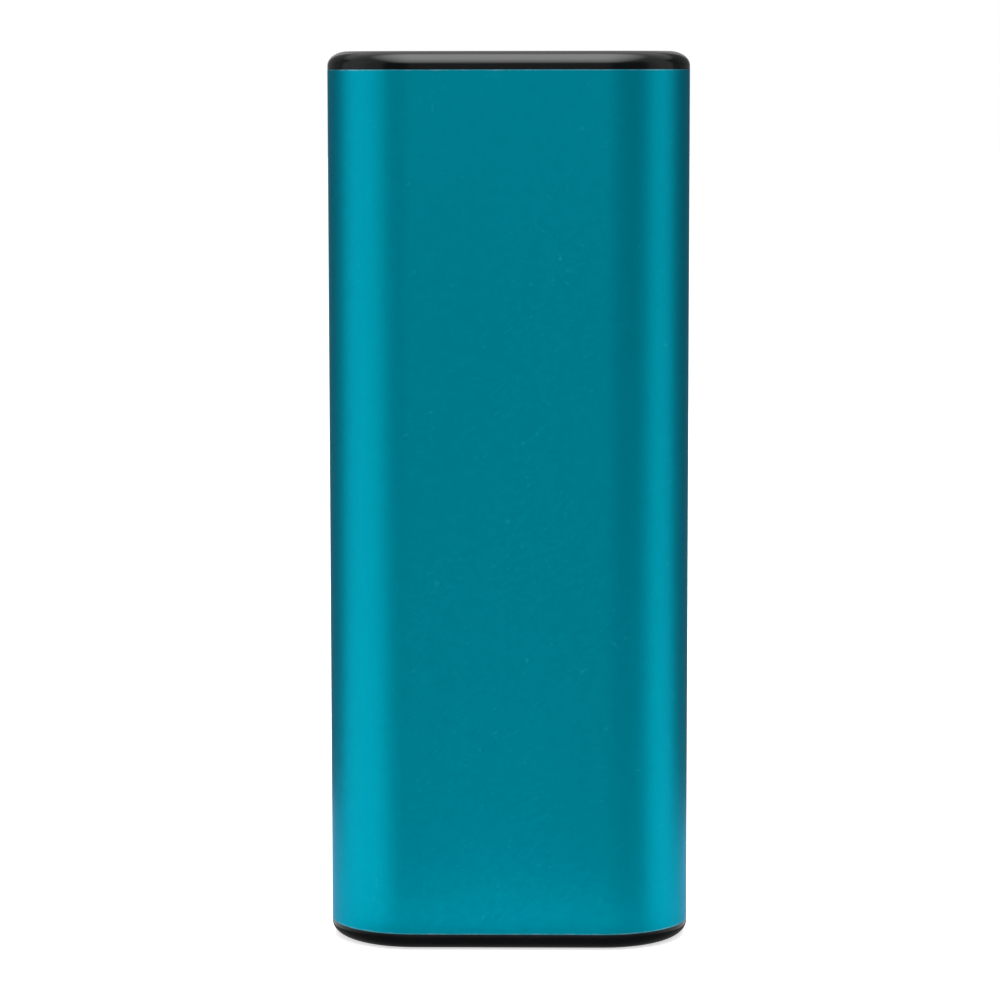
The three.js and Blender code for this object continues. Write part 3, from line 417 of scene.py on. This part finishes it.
def together(first, *others):
    """Joins objects into the first."""
    bpy.ops.object.select_all(action="DESELECT")
    for obj in (first, *others):
        obj.select_set(True)
    bpy.context.view_layer.objects.active = first
    bpy.ops.object.join()
    return first


def complete(obj, finish, body, slot, *nodes):
    """Puts a finished piece on its body, in place of nodes of the frame."""
    obj.data.materials.clear()
    obj.data.materials.append(finish.material)
    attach(obj, body)
    if nodes:
        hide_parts(*nodes)


plated_steel = Finish("plated_steel", Metallic=1.0)
plated_lines = plated_steel.noise(1900.0, 4.0, 0.6, plated_steel.stretched((1.0, 1.0, 0.1)))
plated_stain = plated_steel.noise(260.0, 3.0, 0.5)
plated_steel.put("Base Color", plated_steel.blend(plated_stain, (0.45, 0.455, 0.47), (0.6, 0.605, 0.62)))
plated_steel.put("Roughness", 0.2 + plated_lines * 0.2)
plated_steel.relief(plated_lines, 0.004 * MM)

contact_gold = Finish("contact_gold", Metallic=1.0)
contact_wear = contact_gold.noise(1600.0, 3.0, 0.6)
contact_gold.put("Base Color", contact_gold.blend(contact_wear, (0.62, 0.39, 0.09), (0.82, 0.56, 0.17)))
contact_gold.put("Roughness", 0.2 + contact_wear * 0.18)
dress(contact_gold, *["usb_a_contact_%d" % (i + 1) for i in range(4)])

usb_low, usb_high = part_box("usb_a_shell")
tab_reach = 1.2 * MM
tab_rise = 4.1 * MM
tab_height = 3.0 * MM
tab_front = -0.7 * MM
usb_wall = 0.3 * MM
usb_corner = 0.6 * MM
usb_middle = (usb_low + usb_high) / 2
usb_width = usb_high.x - usb_low.x - 2 * tab_reach
usb_height = usb_high.y - usb_low.y
usb_rim_round = 0.08 * MM


def pipe_from(obj, length, wall):
    """Draws an outline that is open for editing up into a pipe with an even wall."""
    pull(0, 0, length)
    pick(obj, "FACE", lies_level)
    bpy.ops.mesh.delete(type="ONLY_FACE")
    close(obj)
    finished_by(obj, "SOLIDIFY", thickness=wall, offset=-1.0, use_even_offset=True)


def plate(name, low, high, round_by):
    """A block between two corners, with rounded edges."""
    bpy.ops.mesh.primitive_cube_add(size=1, location=(Vector(low) + Vector(high)) / 2)
    bpy.context.object.scale = Vector(high) - Vector(low)
    obj = start(name)
    bpy.ops.mesh.bevel(offset=round_by, segments=2, affect="EDGES")
    return close(obj)


# A sprung finger: a strip that starts on the wall near the mouth, bulges inwards and comes back to the wall.
finger_width = 2.2 * MM
finger_length = 6.0 * MM
finger_bulge = 0.42 * MM
finger_spread = 3.1 * MM
finger_thickness = 0.25 * MM
finger_setback = 0.7 * MM
finger_steps = 8


def sprung_finger(name, x, side):
    wall_y = usb_middle.y + side * (usb_height / 2 - usb_wall)
    mouth_z = usb_high.z - finger_setback
    bpy.ops.mesh.primitive_plane_add(size=1, location=(x, wall_y, mouth_z))
    bpy.context.object.scale = (finger_width, finger_thickness, 1)
    obj = start(name)
    bpy.ops.mesh.select_all(action="SELECT")
    for step in range(finger_steps):
        before = math.sin(math.pi * step / finger_steps) ** 2
        after = math.sin(math.pi * (step + 1) / finger_steps) ** 2
        pull(0, -side * finger_bulge * (after - before), -finger_length / finger_steps)
    return close(obj)


def solder_tab(place):
    inner_x = usb_middle.x + place * (usb_width / 2 - usb_wall)
    outer_x = usb_middle.x + place * (usb_width / 2 + tab_reach)
    low = (min(inner_x, outer_x), tab_front - usb_wall, usb_low.z + tab_rise)
    high = (max(inner_x, outer_x), tab_front, usb_low.z + tab_rise + tab_height)
    return plate("solder_tab", low, high, usb_rim_round)


usb_foot = Vector((usb_middle.x, usb_middle.y, usb_low.z))
usb_sleeve = rounded_face("output_socket_shell", usb_width, usb_height, usb_corner, usb_foot)
pipe_from(usb_sleeve, usb_high.z - usb_low.z, usb_wall)
soften(usb_sleeve, usb_rim_round, 2)
usb_fittings = []
for side in (-1, 1):
    for place in (-1, 1):
        finger_x = usb_middle.x + place * finger_spread
        usb_fittings.append(sprung_finger("sprung_finger", finger_x, side))
for place in (-1, 1):
    usb_fittings.append(solder_tab(place))
together(usb_sleeve, *usb_fittings)
smooth(usb_sleeve)
complete(usb_sleeve, plated_steel, "housing", "socket_steel", "usb_a_shell")

socket_black = Finish("socket_black", IOR=1.5)
socket_grain = socket_black.noise(2300.0, 3.0, 0.6)
socket_tone = socket_black.blend(socket_grain, (0.012, 0.012, 0.013), (0.026, 0.026, 0.028))
socket_black.put("Base Color", socket_tone)
socket_black.put("Roughness", 0.35 + socket_grain * 0.2)
socket_black.relief(socket_grain, 0.006 * MM)
dress(socket_black, "usb_a_insulator", "micro_usb_insulator")

# Charging socket
# A smaller one of the same kind. Its shell is narrower on the side of the board, and its tongue has five
# fine contacts.

micro_low, micro_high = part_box("micro_usb_shell")
micro_middle = (micro_low + micro_high) / 2
micro_wall = 0.25 * MM
micro_bend = 0.35 * MM
micro_rim_round = 0.06 * MM
micro_foot_share = 0.72
micro_side_share = 0.45
tiny = 0.01 * MM


def micro_face(name, grow, bend, z):
    """The outline of the charging socket, narrower on the side of the board, left open for editing."""
    width = micro_high.x - micro_low.x
    height = micro_high.y - micro_low.y
    bpy.ops.mesh.primitive_plane_add(size=1, location=(micro_middle.x, micro_middle.y, z))
    bpy.context.object.scale = (width + 2 * grow, height + 2 * grow, 1)
    obj = start(name)
    shoulder_y = micro_low.y + micro_side_share * height
    bpy.ops.mesh.select_all(action="SELECT")
    bpy.ops.mesh.bisect(plane_co=(micro_middle.x, shoulder_y, z), plane_no=(0, 1, 0))
    pick(obj, "VERT", lambda corner: corner.co.y < shoulder_y - grow - tiny)
    foot = (micro_foot_share * width + 2 * grow) / (width + 2 * grow)
    stretch(foot, 1, 1, micro_middle)
    pick(obj, "EDGE", lambda edge: abs(middle_of(edge).y - shoulder_y) < tiny)
    bpy.ops.mesh.dissolve_edges(use_verts=False)
    bpy.ops.mesh.select_mode(type="VERT")
    bpy.ops.mesh.select_all(action="SELECT")
    bpy.ops.mesh.bevel(offset=bend, segments=4, affect="VERTICES")
    bpy.ops.mesh.select_mode(type="FACE")
    bpy.ops.mesh.select_all(action="SELECT")
    return obj


micro_sleeve = micro_face("charging_socket_shell", 0, micro_bend, micro_low.z)
pipe_from(micro_sleeve, micro_high.z - micro_low.z, micro_wall)
soften(micro_sleeve, micro_rim_round, 2)
smooth(micro_sleeve)
complete(micro_sleeve, plated_steel, "housing", "socket_steel", "micro_usb_shell")

tongue_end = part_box("micro_usb_insulator")[1].z
tongue_half_thickness = 0.35 * MM
fine_contact_width = 0.34 * MM
fine_contact_pitch = 0.65 * MM
fine_contact_proud = 0.05 * MM
fine_contact_round = 0.02 * MM
fine_contact_foot = tongue_end - 2.6 * MM
fine_contact_end = tongue_end - 0.25 * MM
face_y = micro_middle.y - tongue_half_thickness
for number in range(5):
    contact_x = micro_middle.x + (number - 2) * fine_contact_pitch
    low = (contact_x - fine_contact_width / 2, face_y - fine_contact_proud, fine_contact_foot)
    high = (contact_x + fine_contact_width / 2, face_y + fine_contact_proud, fine_contact_end)
    contact = plate("charging_contact_%d" % (number + 1), low, high, fine_contact_round)
    complete(contact, contact_gold, "housing", "gold_contact")

# Lamps
# One milky clear moulding stands over the four lamps on the board. A bar carries four pins, whose domed ends
# show in the holes of the cap.

pipe_low, pipe_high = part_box("light_pipe")
pin_radius = 0.6 * MM
pin_count = 4
pin_pitch = 2.1 * MM
pin_dome = 0.22 * MM
pin_dome_steps = 6
pin_sides = 32
bar_height = 0.8 * MM
bar_corner = 0.57 * MM
lens_round = 0.1 * MM
pipe_middle = (pipe_low + pipe_high) / 2

clear_lens = Finish("milky_lens", IOR=1.49, Roughness=0.16, Transmission_Weight=0.35)
lens_cloud = clear_lens.noise(900.0, 2.0, 0.5)
clear_lens.put("Base Color", clear_lens.blend(lens_cloud, (0.45, 0.48, 0.5), (0.58, 0.61, 0.63)))

pipe_base = (pipe_middle.x, pipe_middle.y, pipe_low.z)
pipe_size = pipe_high - pipe_low
lamp_lens = rounded_face("lamp_lens", pipe_size.x, pipe_size.y, bar_corner, pipe_base)
pull(0, 0, bar_height)
close(lamp_lens)


def turned(name, axis, stations, sides):
    """A form turned about Z, drawn up from its lowest circle through pairs of radius and height."""
    first_radius, first_z = stations[0]
    bpy.ops.mesh.primitive_circle_add(
        vertices=sides, radius=first_radius, fill_type="NGON", location=(axis.x, axis.y, first_z))
    obj = start(name)
    bpy.ops.mesh.select_all(action="SELECT")
    radius, z = first_radius, first_z
    for next_radius, next_z in stations[1:]:
        pull(0, 0, next_z - z)
        share = next_radius / radius
        stretch(share, share, 1, (axis.x, axis.y, next_z))
        radius, z = next_radius, next_z
    return close(obj)


pin_shoulder = pipe_high.z - pin_dome
pin_profile = [(pin_radius, pipe_low.z + bar_height / 2)]
for step in range(pin_dome_steps):
    angle = math.pi / 2 * step / pin_dome_steps
    pin_profile.append((pin_radius * math.cos(angle), pin_shoulder + pin_dome * math.sin(angle)))
pin_axes = []
for number in range(pin_count):
    pin_x = pipe_middle.x + (number - (pin_count - 1) / 2) * pin_pitch
    pin_axes.append(Vector((pin_x, pipe_middle.y, 0)))
together(lamp_lens, *[turned("lamp_pin", pin_axis, pin_profile, pin_sides) for pin_axis in pin_axes])
soften(lamp_lens, lens_round, 3)
smooth(lamp_lens, 40.0)
complete(lamp_lens, clear_lens, "housing", "clear_pipe", "light_pipe")

# Power button
# A round moulding with a dished top and a soft edge, held by a flange under the cap, with a stem that
# reaches down to the switch. A plain on-off sign, a broken ring with a bar, is printed in the dish.

button_low, button_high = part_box("power_button")
button_axis = Vector(((button_low.x + button_high.x) / 2, (button_low.y + button_high.y) / 2, 0))
button_radius = 4.0 * MM
button_dish = 0.3 * MM
button_round = 0.35 * MM
button_steps = 6
button_sides = 96
flange_radius = (button_high.x - button_low.x) / 2
flange_thickness = 0.8 * MM
stem_radius = 1.5 * MM
stem_length = 1.0 * MM


def dish_height(radius):
    share = radius / (button_radius - button_round)
    return button_high.z - button_dish * (1 - share * share)


flange_bottom = button_low.z + stem_length
flange_top = flange_bottom + flange_thickness
button_profile = [
    (stem_radius, button_low.z),
    (stem_radius, flange_bottom),
    (flange_radius, flange_bottom),
    (flange_radius, flange_top),
    (button_radius, flange_top),
]
for step in range(button_steps + 1):
    angle = math.pi / 2 * step / button_steps
    radius = button_radius - button_round * (1 - math.cos(angle))
    button_profile.append((radius, button_high.z - button_round * (1 - math.sin(angle))))
for step in range(1, 2 * button_steps):
    radius = (button_radius - button_round) * (1 - step / (2 * button_steps))
    button_profile.append((radius, dish_height(radius)))

button_gloss = Finish("button_gloss", IOR=1.46)
button_smudge = button_gloss.noise(330.0, 4.0, 0.6)
button_tone = button_gloss.blend(button_smudge, (0.009, 0.01, 0.011), (0.016, 0.017, 0.018))
button_gloss.put("Base Color", button_tone)
button_gloss.put("Roughness", 0.14 + button_smudge * 0.14)
button_gloss.relief(button_gloss.noise(700.0, 2.0, 0.5), 0.004 * MM)

button = turned("button_key", button_axis, button_profile, button_sides)
smooth(button)
complete(button, button_gloss, "button", "button_gloss", "power_button")

# The sign
sign_radius = 1.25 * MM
sign_stroke = 0.28 * MM
sign_proud = 0.015 * MM
sign_gap = math.radians(38)
sign_steps = 40
sign_start_width = sign_stroke / 6
sign_bar_top = 1.75 * MM
sign_bar_bottom = 0.45 * MM
sign_bar_steps = 8

sign_paint = Finish("sign_paint", IOR=1.48)
sign_dust = sign_paint.noise(2400.0, 3.0, 0.6)
sign_paint.put("Base Color", sign_paint.blend(sign_dust, (0.6, 0.61, 0.62), (0.76, 0.77, 0.78)))
sign_paint.put("Roughness", 0.42 + sign_dust * 0.2)

ring_z = dish_height(sign_radius) + sign_proud
bpy.ops.mesh.primitive_plane_add(size=1, location=(button_axis.x, button_axis.y + sign_radius, ring_z))
bpy.context.object.scale = (sign_start_width, sign_stroke, 1)
sign = start("on_off_sign")
pick(sign, "EDGE", lambda edge: middle_of(edge).x > button_axis.x + sign_start_width / 4)
bpy.ops.mesh.spin(
    steps=sign_steps, angle=2 * math.pi - 2 * sign_gap, center=button_axis, axis=(0, 0, -1))
bpy.ops.mesh.select_all(action="SELECT")
bpy.ops.transform.rotate(value=-sign_gap, orient_axis="Z", center_override=button_axis)
close(sign)
bar_middle_y = button_axis.y + (sign_bar_top + sign_bar_bottom) / 2
bpy.ops.mesh.primitive_grid_add(
    x_subdivisions=1, y_subdivisions=sign_bar_steps, size=1, location=(button_axis.x, bar_middle_y, ring_z))
bpy.context.object.scale = (sign_stroke, sign_bar_top - sign_bar_bottom, 1)
sign_bar = start("sign_bar")
bpy.ops.object.mode_set(mode="OBJECT")
for corner in (*sign.data.vertices, *sign_bar.data.vertices):
    reach = math.hypot(corner.co.x - button_axis.x, corner.co.y - button_axis.y)
    corner.co.z = dish_height(reach) + sign_proud
together(sign, sign_bar)
finished_by(sign, "SOLIDIFY", thickness=2 * sign_proud, offset=-1.0)
complete(sign, sign_paint, "button", "button_gloss")

# Tube
# Aluminium drawn through a die to a flattened ring, cut square to length, blasted with fine beads and
# anodised teal. The blasting leaves a satin with a sparse, faint sparkle, which is painted into the colour
# as glints. Along the cut edges a painted highlight, a paler band with painted glints, stands for the light
# that they catch. Seen along the wall, the clear layer over the dye makes it paler and greyer.

tube_low, tube_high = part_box("shell_tube")
tube_wall = 1.2 * MM
tube_corner = 10.0 * MM
tube_size = tube_high - tube_low
cap_lip = 2.0 * MM
tube_foot = Vector(((tube_low.x + tube_high.x) / 2, (tube_low.y + tube_high.y) / 2, cap_lip))
plan_steps = 24

anodised = Finish("teal_anodising", Metallic=1.0, IOR=1.5, Specular_Tint=(0.58, 0.6, 0.75))
blast = anodised.noise(3600.0, 4.0, 0.7)
pits = anodised.cells(2300.0)
bloom = anodised.noise(55.0, 3.0, 0.5, anodised.stretched((1.0, 1.0, 0.35)))
drawing = anodised.noise(420.0, 3.0, 0.6, anodised.stretched((1.0, 1.0, 0.02)))
grain = anodised.noise(1000.0, 2.0, 0.6)
# Painted glints: sparse lighter specks in the colour stand for the sparkle of light on the blasted surface.
painted_glint_specks = anodised.steps(anodised.noise(1100.0, 2.0, 0.6), (0.67, 0.0), (0.8, 1.0))
teal = anodised.blend(bloom * 0.3 + drawing * 0.2 + grain * 0.5, (0.0, 0.251, 0.347), (0.0, 0.311, 0.415))
teal_with_painted_glints = anodised.blend(painted_glint_specks * 0.3, teal, (0.03, 0.46, 0.55))
# Painted highlight: a paler band along both cut edges of the tube, broken by glints, stands for the light
# that the edges catch.
edge_highlight_band = 0.14 * MM
height = anodised.along("Z")
top_edge = height > tube_high.z - edge_highlight_band
bottom_edge = height < tube_foot.z + edge_highlight_band
painted_edge_glints = anodised.steps(anodised.noise(520.0, 3.0, 0.8), (0.45, 0.25), (0.66, 1.0))
# The mask of the painted edge highlight.
edge = (top_edge + bottom_edge) * painted_edge_glints
anodised.put("Base Color", anodised.blend(edge, teal_with_painted_glints, (0.14, 0.36, 0.43)))
anodised.put("Roughness", 0.36 + blast * 0.1)
anodised.relief(blast + pits * 0.4, 0.006 * MM, 0.3)

tube = rounded_face("tube_body", tube_size.x, tube_size.y, tube_corner, tube_foot, plan_steps)
pipe_from(tube, tube_high.z - tube_foot.z, tube_wall)
smooth(tube)
complete(tube, anodised, "housing", "anodised_shell", "shell_tube")

# End caps
# Polished black mouldings. The lip shows between the tube and the rolled edge, and a skirt with four
# windows snaps over ramps on the carrier. The upper one has the socket windows, the lamp holes and the
# button's well.

top_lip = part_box("top_cap")[1].z - tube_high.z
roll_inset = 2.4 * MM
roll_height = 1.65 * MM
roll_steps = 12
seat_inset = tube_wall + 0.2 * MM
skirt_wall = 1.0 * MM
skirt_depth = 4.5 * MM
latch_spacing = 16.0 * MM
latch_width = 6.4 * MM
latch_height = 1.8 * MM
latch_round = 0.3 * MM

cap_gloss = Finish("cap_gloss", IOR=1.46, Specular_IOR_Level=0.2)
cap_haze = cap_gloss.noise(240.0, 4.0, 0.6)
cap_ripple = cap_gloss.noise(420.0, 2.0, 0.5)
cap_gloss.put("Base Color", cap_gloss.blend(cap_haze, (0.0015, 0.0018, 0.002), (0.003, 0.0035, 0.004)))
cap_gloss.put("Roughness", 0.12 + cap_haze * 0.12)
cap_gloss.relief(cap_ripple, 0.004 * MM)


def cap_blank(name, lip):
    """A cap with its lip upwards, whose plane that meets the tube lies at Z = 0."""
    obj = rounded_face(name, tube_size.x, tube_size.y, tube_corner, Vector((0, 0, 0)), plan_steps)
    pull(0, 0, lip - roll_height)
    turned_in, risen = 0.0, 0.0
    for step in range(1, roll_steps + 1):
        angle = math.pi / 2 * step / roll_steps
        inset = roll_inset * (1 - math.cos(angle))
        rise = roll_height * math.sin(angle)
        bpy.ops.mesh.inset(thickness=inset - turned_in, depth=rise - risen, use_even_offset=True)
        turned_in, risen = inset, rise
    pick(obj, "FACE", lambda face: middle_of(face).z < merge_reach)
    bpy.ops.mesh.inset(thickness=seat_inset, depth=0, use_even_offset=True)
    pick(obj, "FACE", lambda face: middle_of(face).length < tiny)
    pull(0, 0, -skirt_depth)
    bpy.ops.mesh.inset(thickness=skirt_wall, depth=0, use_even_offset=True)
    pull(0, 0, skirt_depth)
    return close(obj)


def cut_out(obj, *tools):
    """Cuts tools out of a piece, throws them away and merges the corners that the cuts leave doubled."""
    tool = together(*tools) if len(tools) > 1 else tools[0]
    finished_by(obj, "BOOLEAN", operation="DIFFERENCE", solver="EXACT", object=tool)
    bpy.data.objects.remove(tool)
    bpy.ops.object.mode_set(mode="EDIT")
    close(obj)


def latch_tools():
    """Two blocks that run through the skirt from front to back."""
    middle_z = -skirt_depth / 2
    tools = []
    for place in (-1, 1):
        low = (place * latch_spacing / 2 - latch_width / 2, -tube_size.y, middle_z - latch_height / 2)
        high = (place * latch_spacing / 2 + latch_width / 2, tube_size.y, middle_z + latch_height / 2)
        tools.append(plate("latch_tool", low, high, latch_round))
    return tools


window_clearance = 0.2 * MM
window_chamfer = 0.3 * MM
through = 1.0 * MM


def flared(obj, width, depth, middle):
    """Draws an open outline up through a lip and flares it at the face of the lip."""
    pull(0, 0, top_lip + through - window_chamfer)
    pull(0, 0, window_chamfer)
    wider = (width + 2 * window_chamfer) / width
    deeper = (depth + 2 * window_chamfer) / depth
    stretch(wider, deeper, 1, (middle.x, middle.y, top_lip))
    pull(0, 0, through)
    return close(obj)


usb_hole_width = usb_width + 2 * window_clearance
usb_hole_height = usb_height + 2 * window_clearance
usb_hole_corner = usb_corner + window_clearance
usb_tool_foot = Vector((usb_middle.x, usb_middle.y, -through))
usb_tool = rounded_face("usb_tool", usb_hole_width, usb_hole_height, usb_hole_corner, usb_tool_foot)
flared(usb_tool, usb_hole_width, usb_hole_height, usb_middle)
micro_tool = micro_face("micro_tool", window_clearance, micro_bend + window_clearance / 2, -through)
micro_hole_width = micro_high.x - micro_low.x + 2 * window_clearance
micro_hole_height = micro_high.y - micro_low.y + 2 * window_clearance
flared(micro_tool, micro_hole_width, micro_hole_height, micro_middle)

# The button's well: a bore whose mouth widens like a shallow funnel, with small steps at its foot and rim.
well_clearance = 0.2 * MM
well_depth = 0.45 * MM
funnel_width = 0.9 * MM
foot_step = 0.04 * MM
rim_step = 0.1 * MM
step_height = 0.05 * MM
rim_rise = 0.02 * MM
bore_radius = button_radius + well_clearance
well_profile = [
    (bore_radius, -through),
    (bore_radius, top_lip - well_depth),
    (bore_radius + foot_step, top_lip - well_depth + step_height),
    (bore_radius + funnel_width - rim_step, top_lip - step_height),
    (bore_radius + funnel_width, top_lip + rim_rise),
    (bore_radius + funnel_width, top_lip + through),
]
well_tool = turned("well_tool", button_axis, well_profile, button_sides)

hole_radius = 0.7 * MM
hole_edge = 0.1 * MM
hole_profile = [
    (hole_radius, -through),
    (hole_radius, top_lip - hole_edge),
    (hole_radius + hole_edge, top_lip),
    (hole_radius + hole_edge, top_lip + through),
]
hole_tools = [turned("hole_tool", pin_axis, hole_profile, pin_sides) for pin_axis in pin_axes]

top_cap = cap_blank("cap_top", top_lip)
cut_out(top_cap, usb_tool, micro_tool, well_tool, *hole_tools)
cut_out(top_cap, *latch_tools())
smooth(top_cap)
only(top_cap)
top_cap.location.z = tube_high.z
bpy.ops.object.transform_apply(location=True, rotation=False, scale=False)
complete(top_cap, cap_gloss, "housing", "black_gloss", "top_cap")

bottom_cap = cap_blank("cap_bottom", cap_lip)
cut_out(bottom_cap, *latch_tools())
smooth(bottom_cap)
only(bottom_cap)
bottom_cap.rotation_euler.x = math.pi
bottom_cap.location.z = cap_lip
bpy.ops.object.transform_apply(location=True, rotation=True, scale=False)
complete(bottom_cap, cap_gloss, "housing", "black_gloss", "bottom_cap")

# Studio
# A white floor and a white surround, which the camera sees as plain white. Soft boxes hang overhead and
# stand at both sides. Grey cards, seen only in reflections, shape the light on the tube.

surround_fill = 0.5
surround = bpy.data.worlds.new("white_surround")
surround.use_nodes = True
bpy.context.scene.world = surround
sky = Nodes(surround.node_tree)
sky_direct = sky.add("ShaderNodeLightPath", {}, {}, "Is Camera Ray")
sky_mirror = sky.add("ShaderNodeLightPath", {}, {}, "Is Glossy Ray")
sky_through = sky.add("ShaderNodeLightPath", {}, {}, "Is Transmission Ray")
sky_seen = (sky_direct + sky_mirror + sky_through).clamped()
sky_background = surround.node_tree.nodes["Background"]
sky.join(sky_background.inputs["Color"], (1.0, 1.0, 1.0))
sky.join(sky_background.inputs["Strength"], surround_fill + sky_seen * (1 - surround_fill))

floor_size = 8.0
floor_glow = 0.66
floor_gleam = 0.2
bpy.ops.mesh.primitive_plane_add(size=floor_size, location=(0, 0, 0))
floor = bpy.context.object
floor.name = "studio_floor"
floor_white = Finish("floor_white", Roughness=0.6, Specular_IOR_Level=0.1, Emission_Strength=1.0)
floor_paper = floor_white.noise(3.0, 2.0, 0.5)
floor_white.put("Base Color", floor_white.blend(floor_paper, (0.8, 0.8, 0.8), (0.84, 0.84, 0.84)))
floor_seen = floor_white.add("ShaderNodeLightPath", {}, {}, "Is Camera Ray")
floor_mirror = floor_white.add("ShaderNodeLightPath", {}, {}, "Is Glossy Ray")
floor_white.put("Emission Color", floor_seen * floor_glow + floor_mirror * floor_gleam)
floor.data.materials.append(floor_white.material)


def face_object(obj, azimuth, elevation, distance):
    """Places a lamp or a card around the hand warmer, facing it. Azimuth 0 is in front, 90 on the right."""
    turn = math.radians(azimuth)
    rise = math.radians(elevation)
    away = Vector((math.sin(turn) * math.cos(rise), -math.cos(turn) * math.cos(rise), math.sin(rise)))
    obj.location = Vector((0, 0, cad_high.z / 2)) + away * distance
    obj.rotation_euler = away.to_track_quat("Z", "Y").to_euler()


def soft_box(name, azimuth, elevation, distance, width, height, radiance):
    """A rectangular lamp whose power follows from its size and from the radiance of its cloth."""
    lamp = bpy.data.lights.new(name, "AREA")
    lamp.shape = "RECTANGLE"
    lamp.size = width
    lamp.size_y = height
    lamp.energy = radiance * math.pi * width * height
    box = bpy.data.objects.new(name, lamp)
    bpy.context.scene.collection.objects.link(box)
    face_object(box, azimuth, elevation, distance)
    return box


soft_box("left_soft_box", azimuth=-78, elevation=12, distance=0.8, width=0.34, height=0.8, radiance=0.345)
soft_box("right_soft_box", azimuth=82, elevation=12, distance=0.8, width=0.18, height=0.8, radiance=0.25)
overhead = soft_box(
    "overhead_soft_box", azimuth=0, elevation=76, distance=0.9, width=0.65, height=1.5, radiance=4.0)
overhead.visible_glossy = False

card_sides = 180
card_rise = 0.5 * MM
card_far = 1.0
card_height = 0.8


def seen_in_reflections_only(card):
    """Gives a card a black finish whose glow is still to be set."""
    card.visible_camera = False
    card.visible_diffuse = False
    card.visible_shadow = False
    card.visible_transmission = False
    finish = Finish(card.name, Base_Color=(0.0, 0.0, 0.0), Specular_IOR_Level=0.0, Emission_Strength=1.0)
    card.data.materials.append(finish.material)
    return finish


def fan_card(name, azimuth, spread, near, near_level, far_level):
    """A fan of card that lies on the floor and stands up at its far edge. Its glow changes on the way."""
    turn = math.radians(azimuth)
    middle = Vector((math.sin(turn), -math.cos(turn), 0))
    bpy.ops.mesh.primitive_circle_add(vertices=card_sides, radius=near, location=(0, 0, card_rise))
    card = start(name)
    pick(card, "VERT", lambda corner: math.degrees(corner.co.xy.to_3d().angle(middle)) > spread / 2)
    bpy.ops.mesh.delete(type="VERT")
    bpy.ops.mesh.select_all(action="SELECT")
    pull(0, 0, 0)
    stretch(card_far / near, card_far / near, 1, (0, 0, card_rise))
    pull(0, 0, card_height)
    bpy.ops.object.mode_set(mode="OBJECT")
    paper = seen_in_reflections_only(card)
    way = paper.add("ShaderNodeVectorMath", {"operation": "LENGTH"}, {0: paper.place}, "Value") / card_far
    paper.put("Emission Color", near_level + (far_level - near_level) * way)


fan_card("front_card", azimuth=3.5, spread=13, near=0.03, near_level=0.63, far_level=0.61)
fan_card("left_card", azimuth=-21.5, spread=37, near=0.03, near_level=0.69, far_level=0.17)
fan_card("right_card", azimuth=36, spread=52, near=0.03, near_level=0.66, far_level=0.18)
fan_card("left_rear_card", azimuth=-136, spread=60, near=0.09, near_level=0.3, far_level=0.22)
fan_card("right_rear_card", azimuth=135, spread=62, near=0.08, near_level=0.3, far_level=0.17)
fan_card("rear_card", azimuth=180, spread=28, near=0.09, near_level=0.5, far_level=0.5)

# A dim card under the object, a little larger than its foot, stands for the shade that it throws there.
foot_card_rise = 0.1 * MM
foot_margin_ahead = 6.0 * MM
foot_margin_aside = 2.0 * MM
foot_level = 0.2
foot_card_width = tube_size.x + 2 * foot_margin_aside
foot_card_depth = tube_size.y + 2 * foot_margin_ahead
foot_card_middle = Vector((0, 0, foot_card_rise))
foot_card = rounded_face("foot_card", foot_card_width, foot_card_depth, tube_corner, foot_card_middle)
bpy.ops.object.mode_set(mode="OBJECT")
seen_in_reflections_only(foot_card).put("Emission Color", (foot_level, foot_level, foot_level))

# The silk of the overhead lamp: an oval whose glow fades from its middle to its rim.
silk_half_width = 0.62
silk_half_length = 1.15
silk_elevation = 74
silk_distance = 0.85
silk_level = 13.5
bpy.ops.mesh.primitive_circle_add(vertices=card_sides, radius=1.0, fill_type="NGON")
silk = bpy.context.object
silk.name = "overhead_silk"
silk.scale = (silk_half_width, silk_half_length, 1)
face_object(silk, 0, silk_elevation, silk_distance)
silk_paper = seen_in_reflections_only(silk)
from_middle = {"Vector": silk_paper.place}
silk_fade = silk_paper.add("ShaderNodeTexGradient", {"gradient_type": "SPHERICAL"}, from_middle)
silk_paper.put("Emission Color", silk_fade * silk_level)

# Camera
# Level with the top edge of the tube and tilted down at its middle, a touch to the right of straight in
# front and rolled by a hair.

eye_distance = 0.4385
eye_azimuth = math.radians(0.83)
eye_roll = math.radians(-0.07)
aim_height = 51.53 * MM
aim_left = 1.08 * MM
lens_length = 134.95
sensor_width = 36.0
nearest_seen = 0.02
farthest_seen = 40.0

lens = bpy.data.cameras.new("camera")
lens.lens = lens_length
lens.sensor_width = sensor_width
lens.clip_start = nearest_seen
lens.clip_end = farthest_seen
camera = bpy.data.objects.new("camera", lens)
bpy.context.scene.collection.objects.link(camera)
camera.location = (eye_distance * math.sin(eye_azimuth), -eye_distance * math.cos(eye_azimuth), tube_high.z)
aim = Vector((-aim_left, 0, aim_height))
camera.rotation_euler = (aim - camera.location).to_track_quat("-Z", "Y").to_euler()
camera.rotation_euler.rotate_axis("Z", eye_roll)
bpy.context.scene.camera = camera
bpy.context.scene.view_settings.view_transform = "Standard"
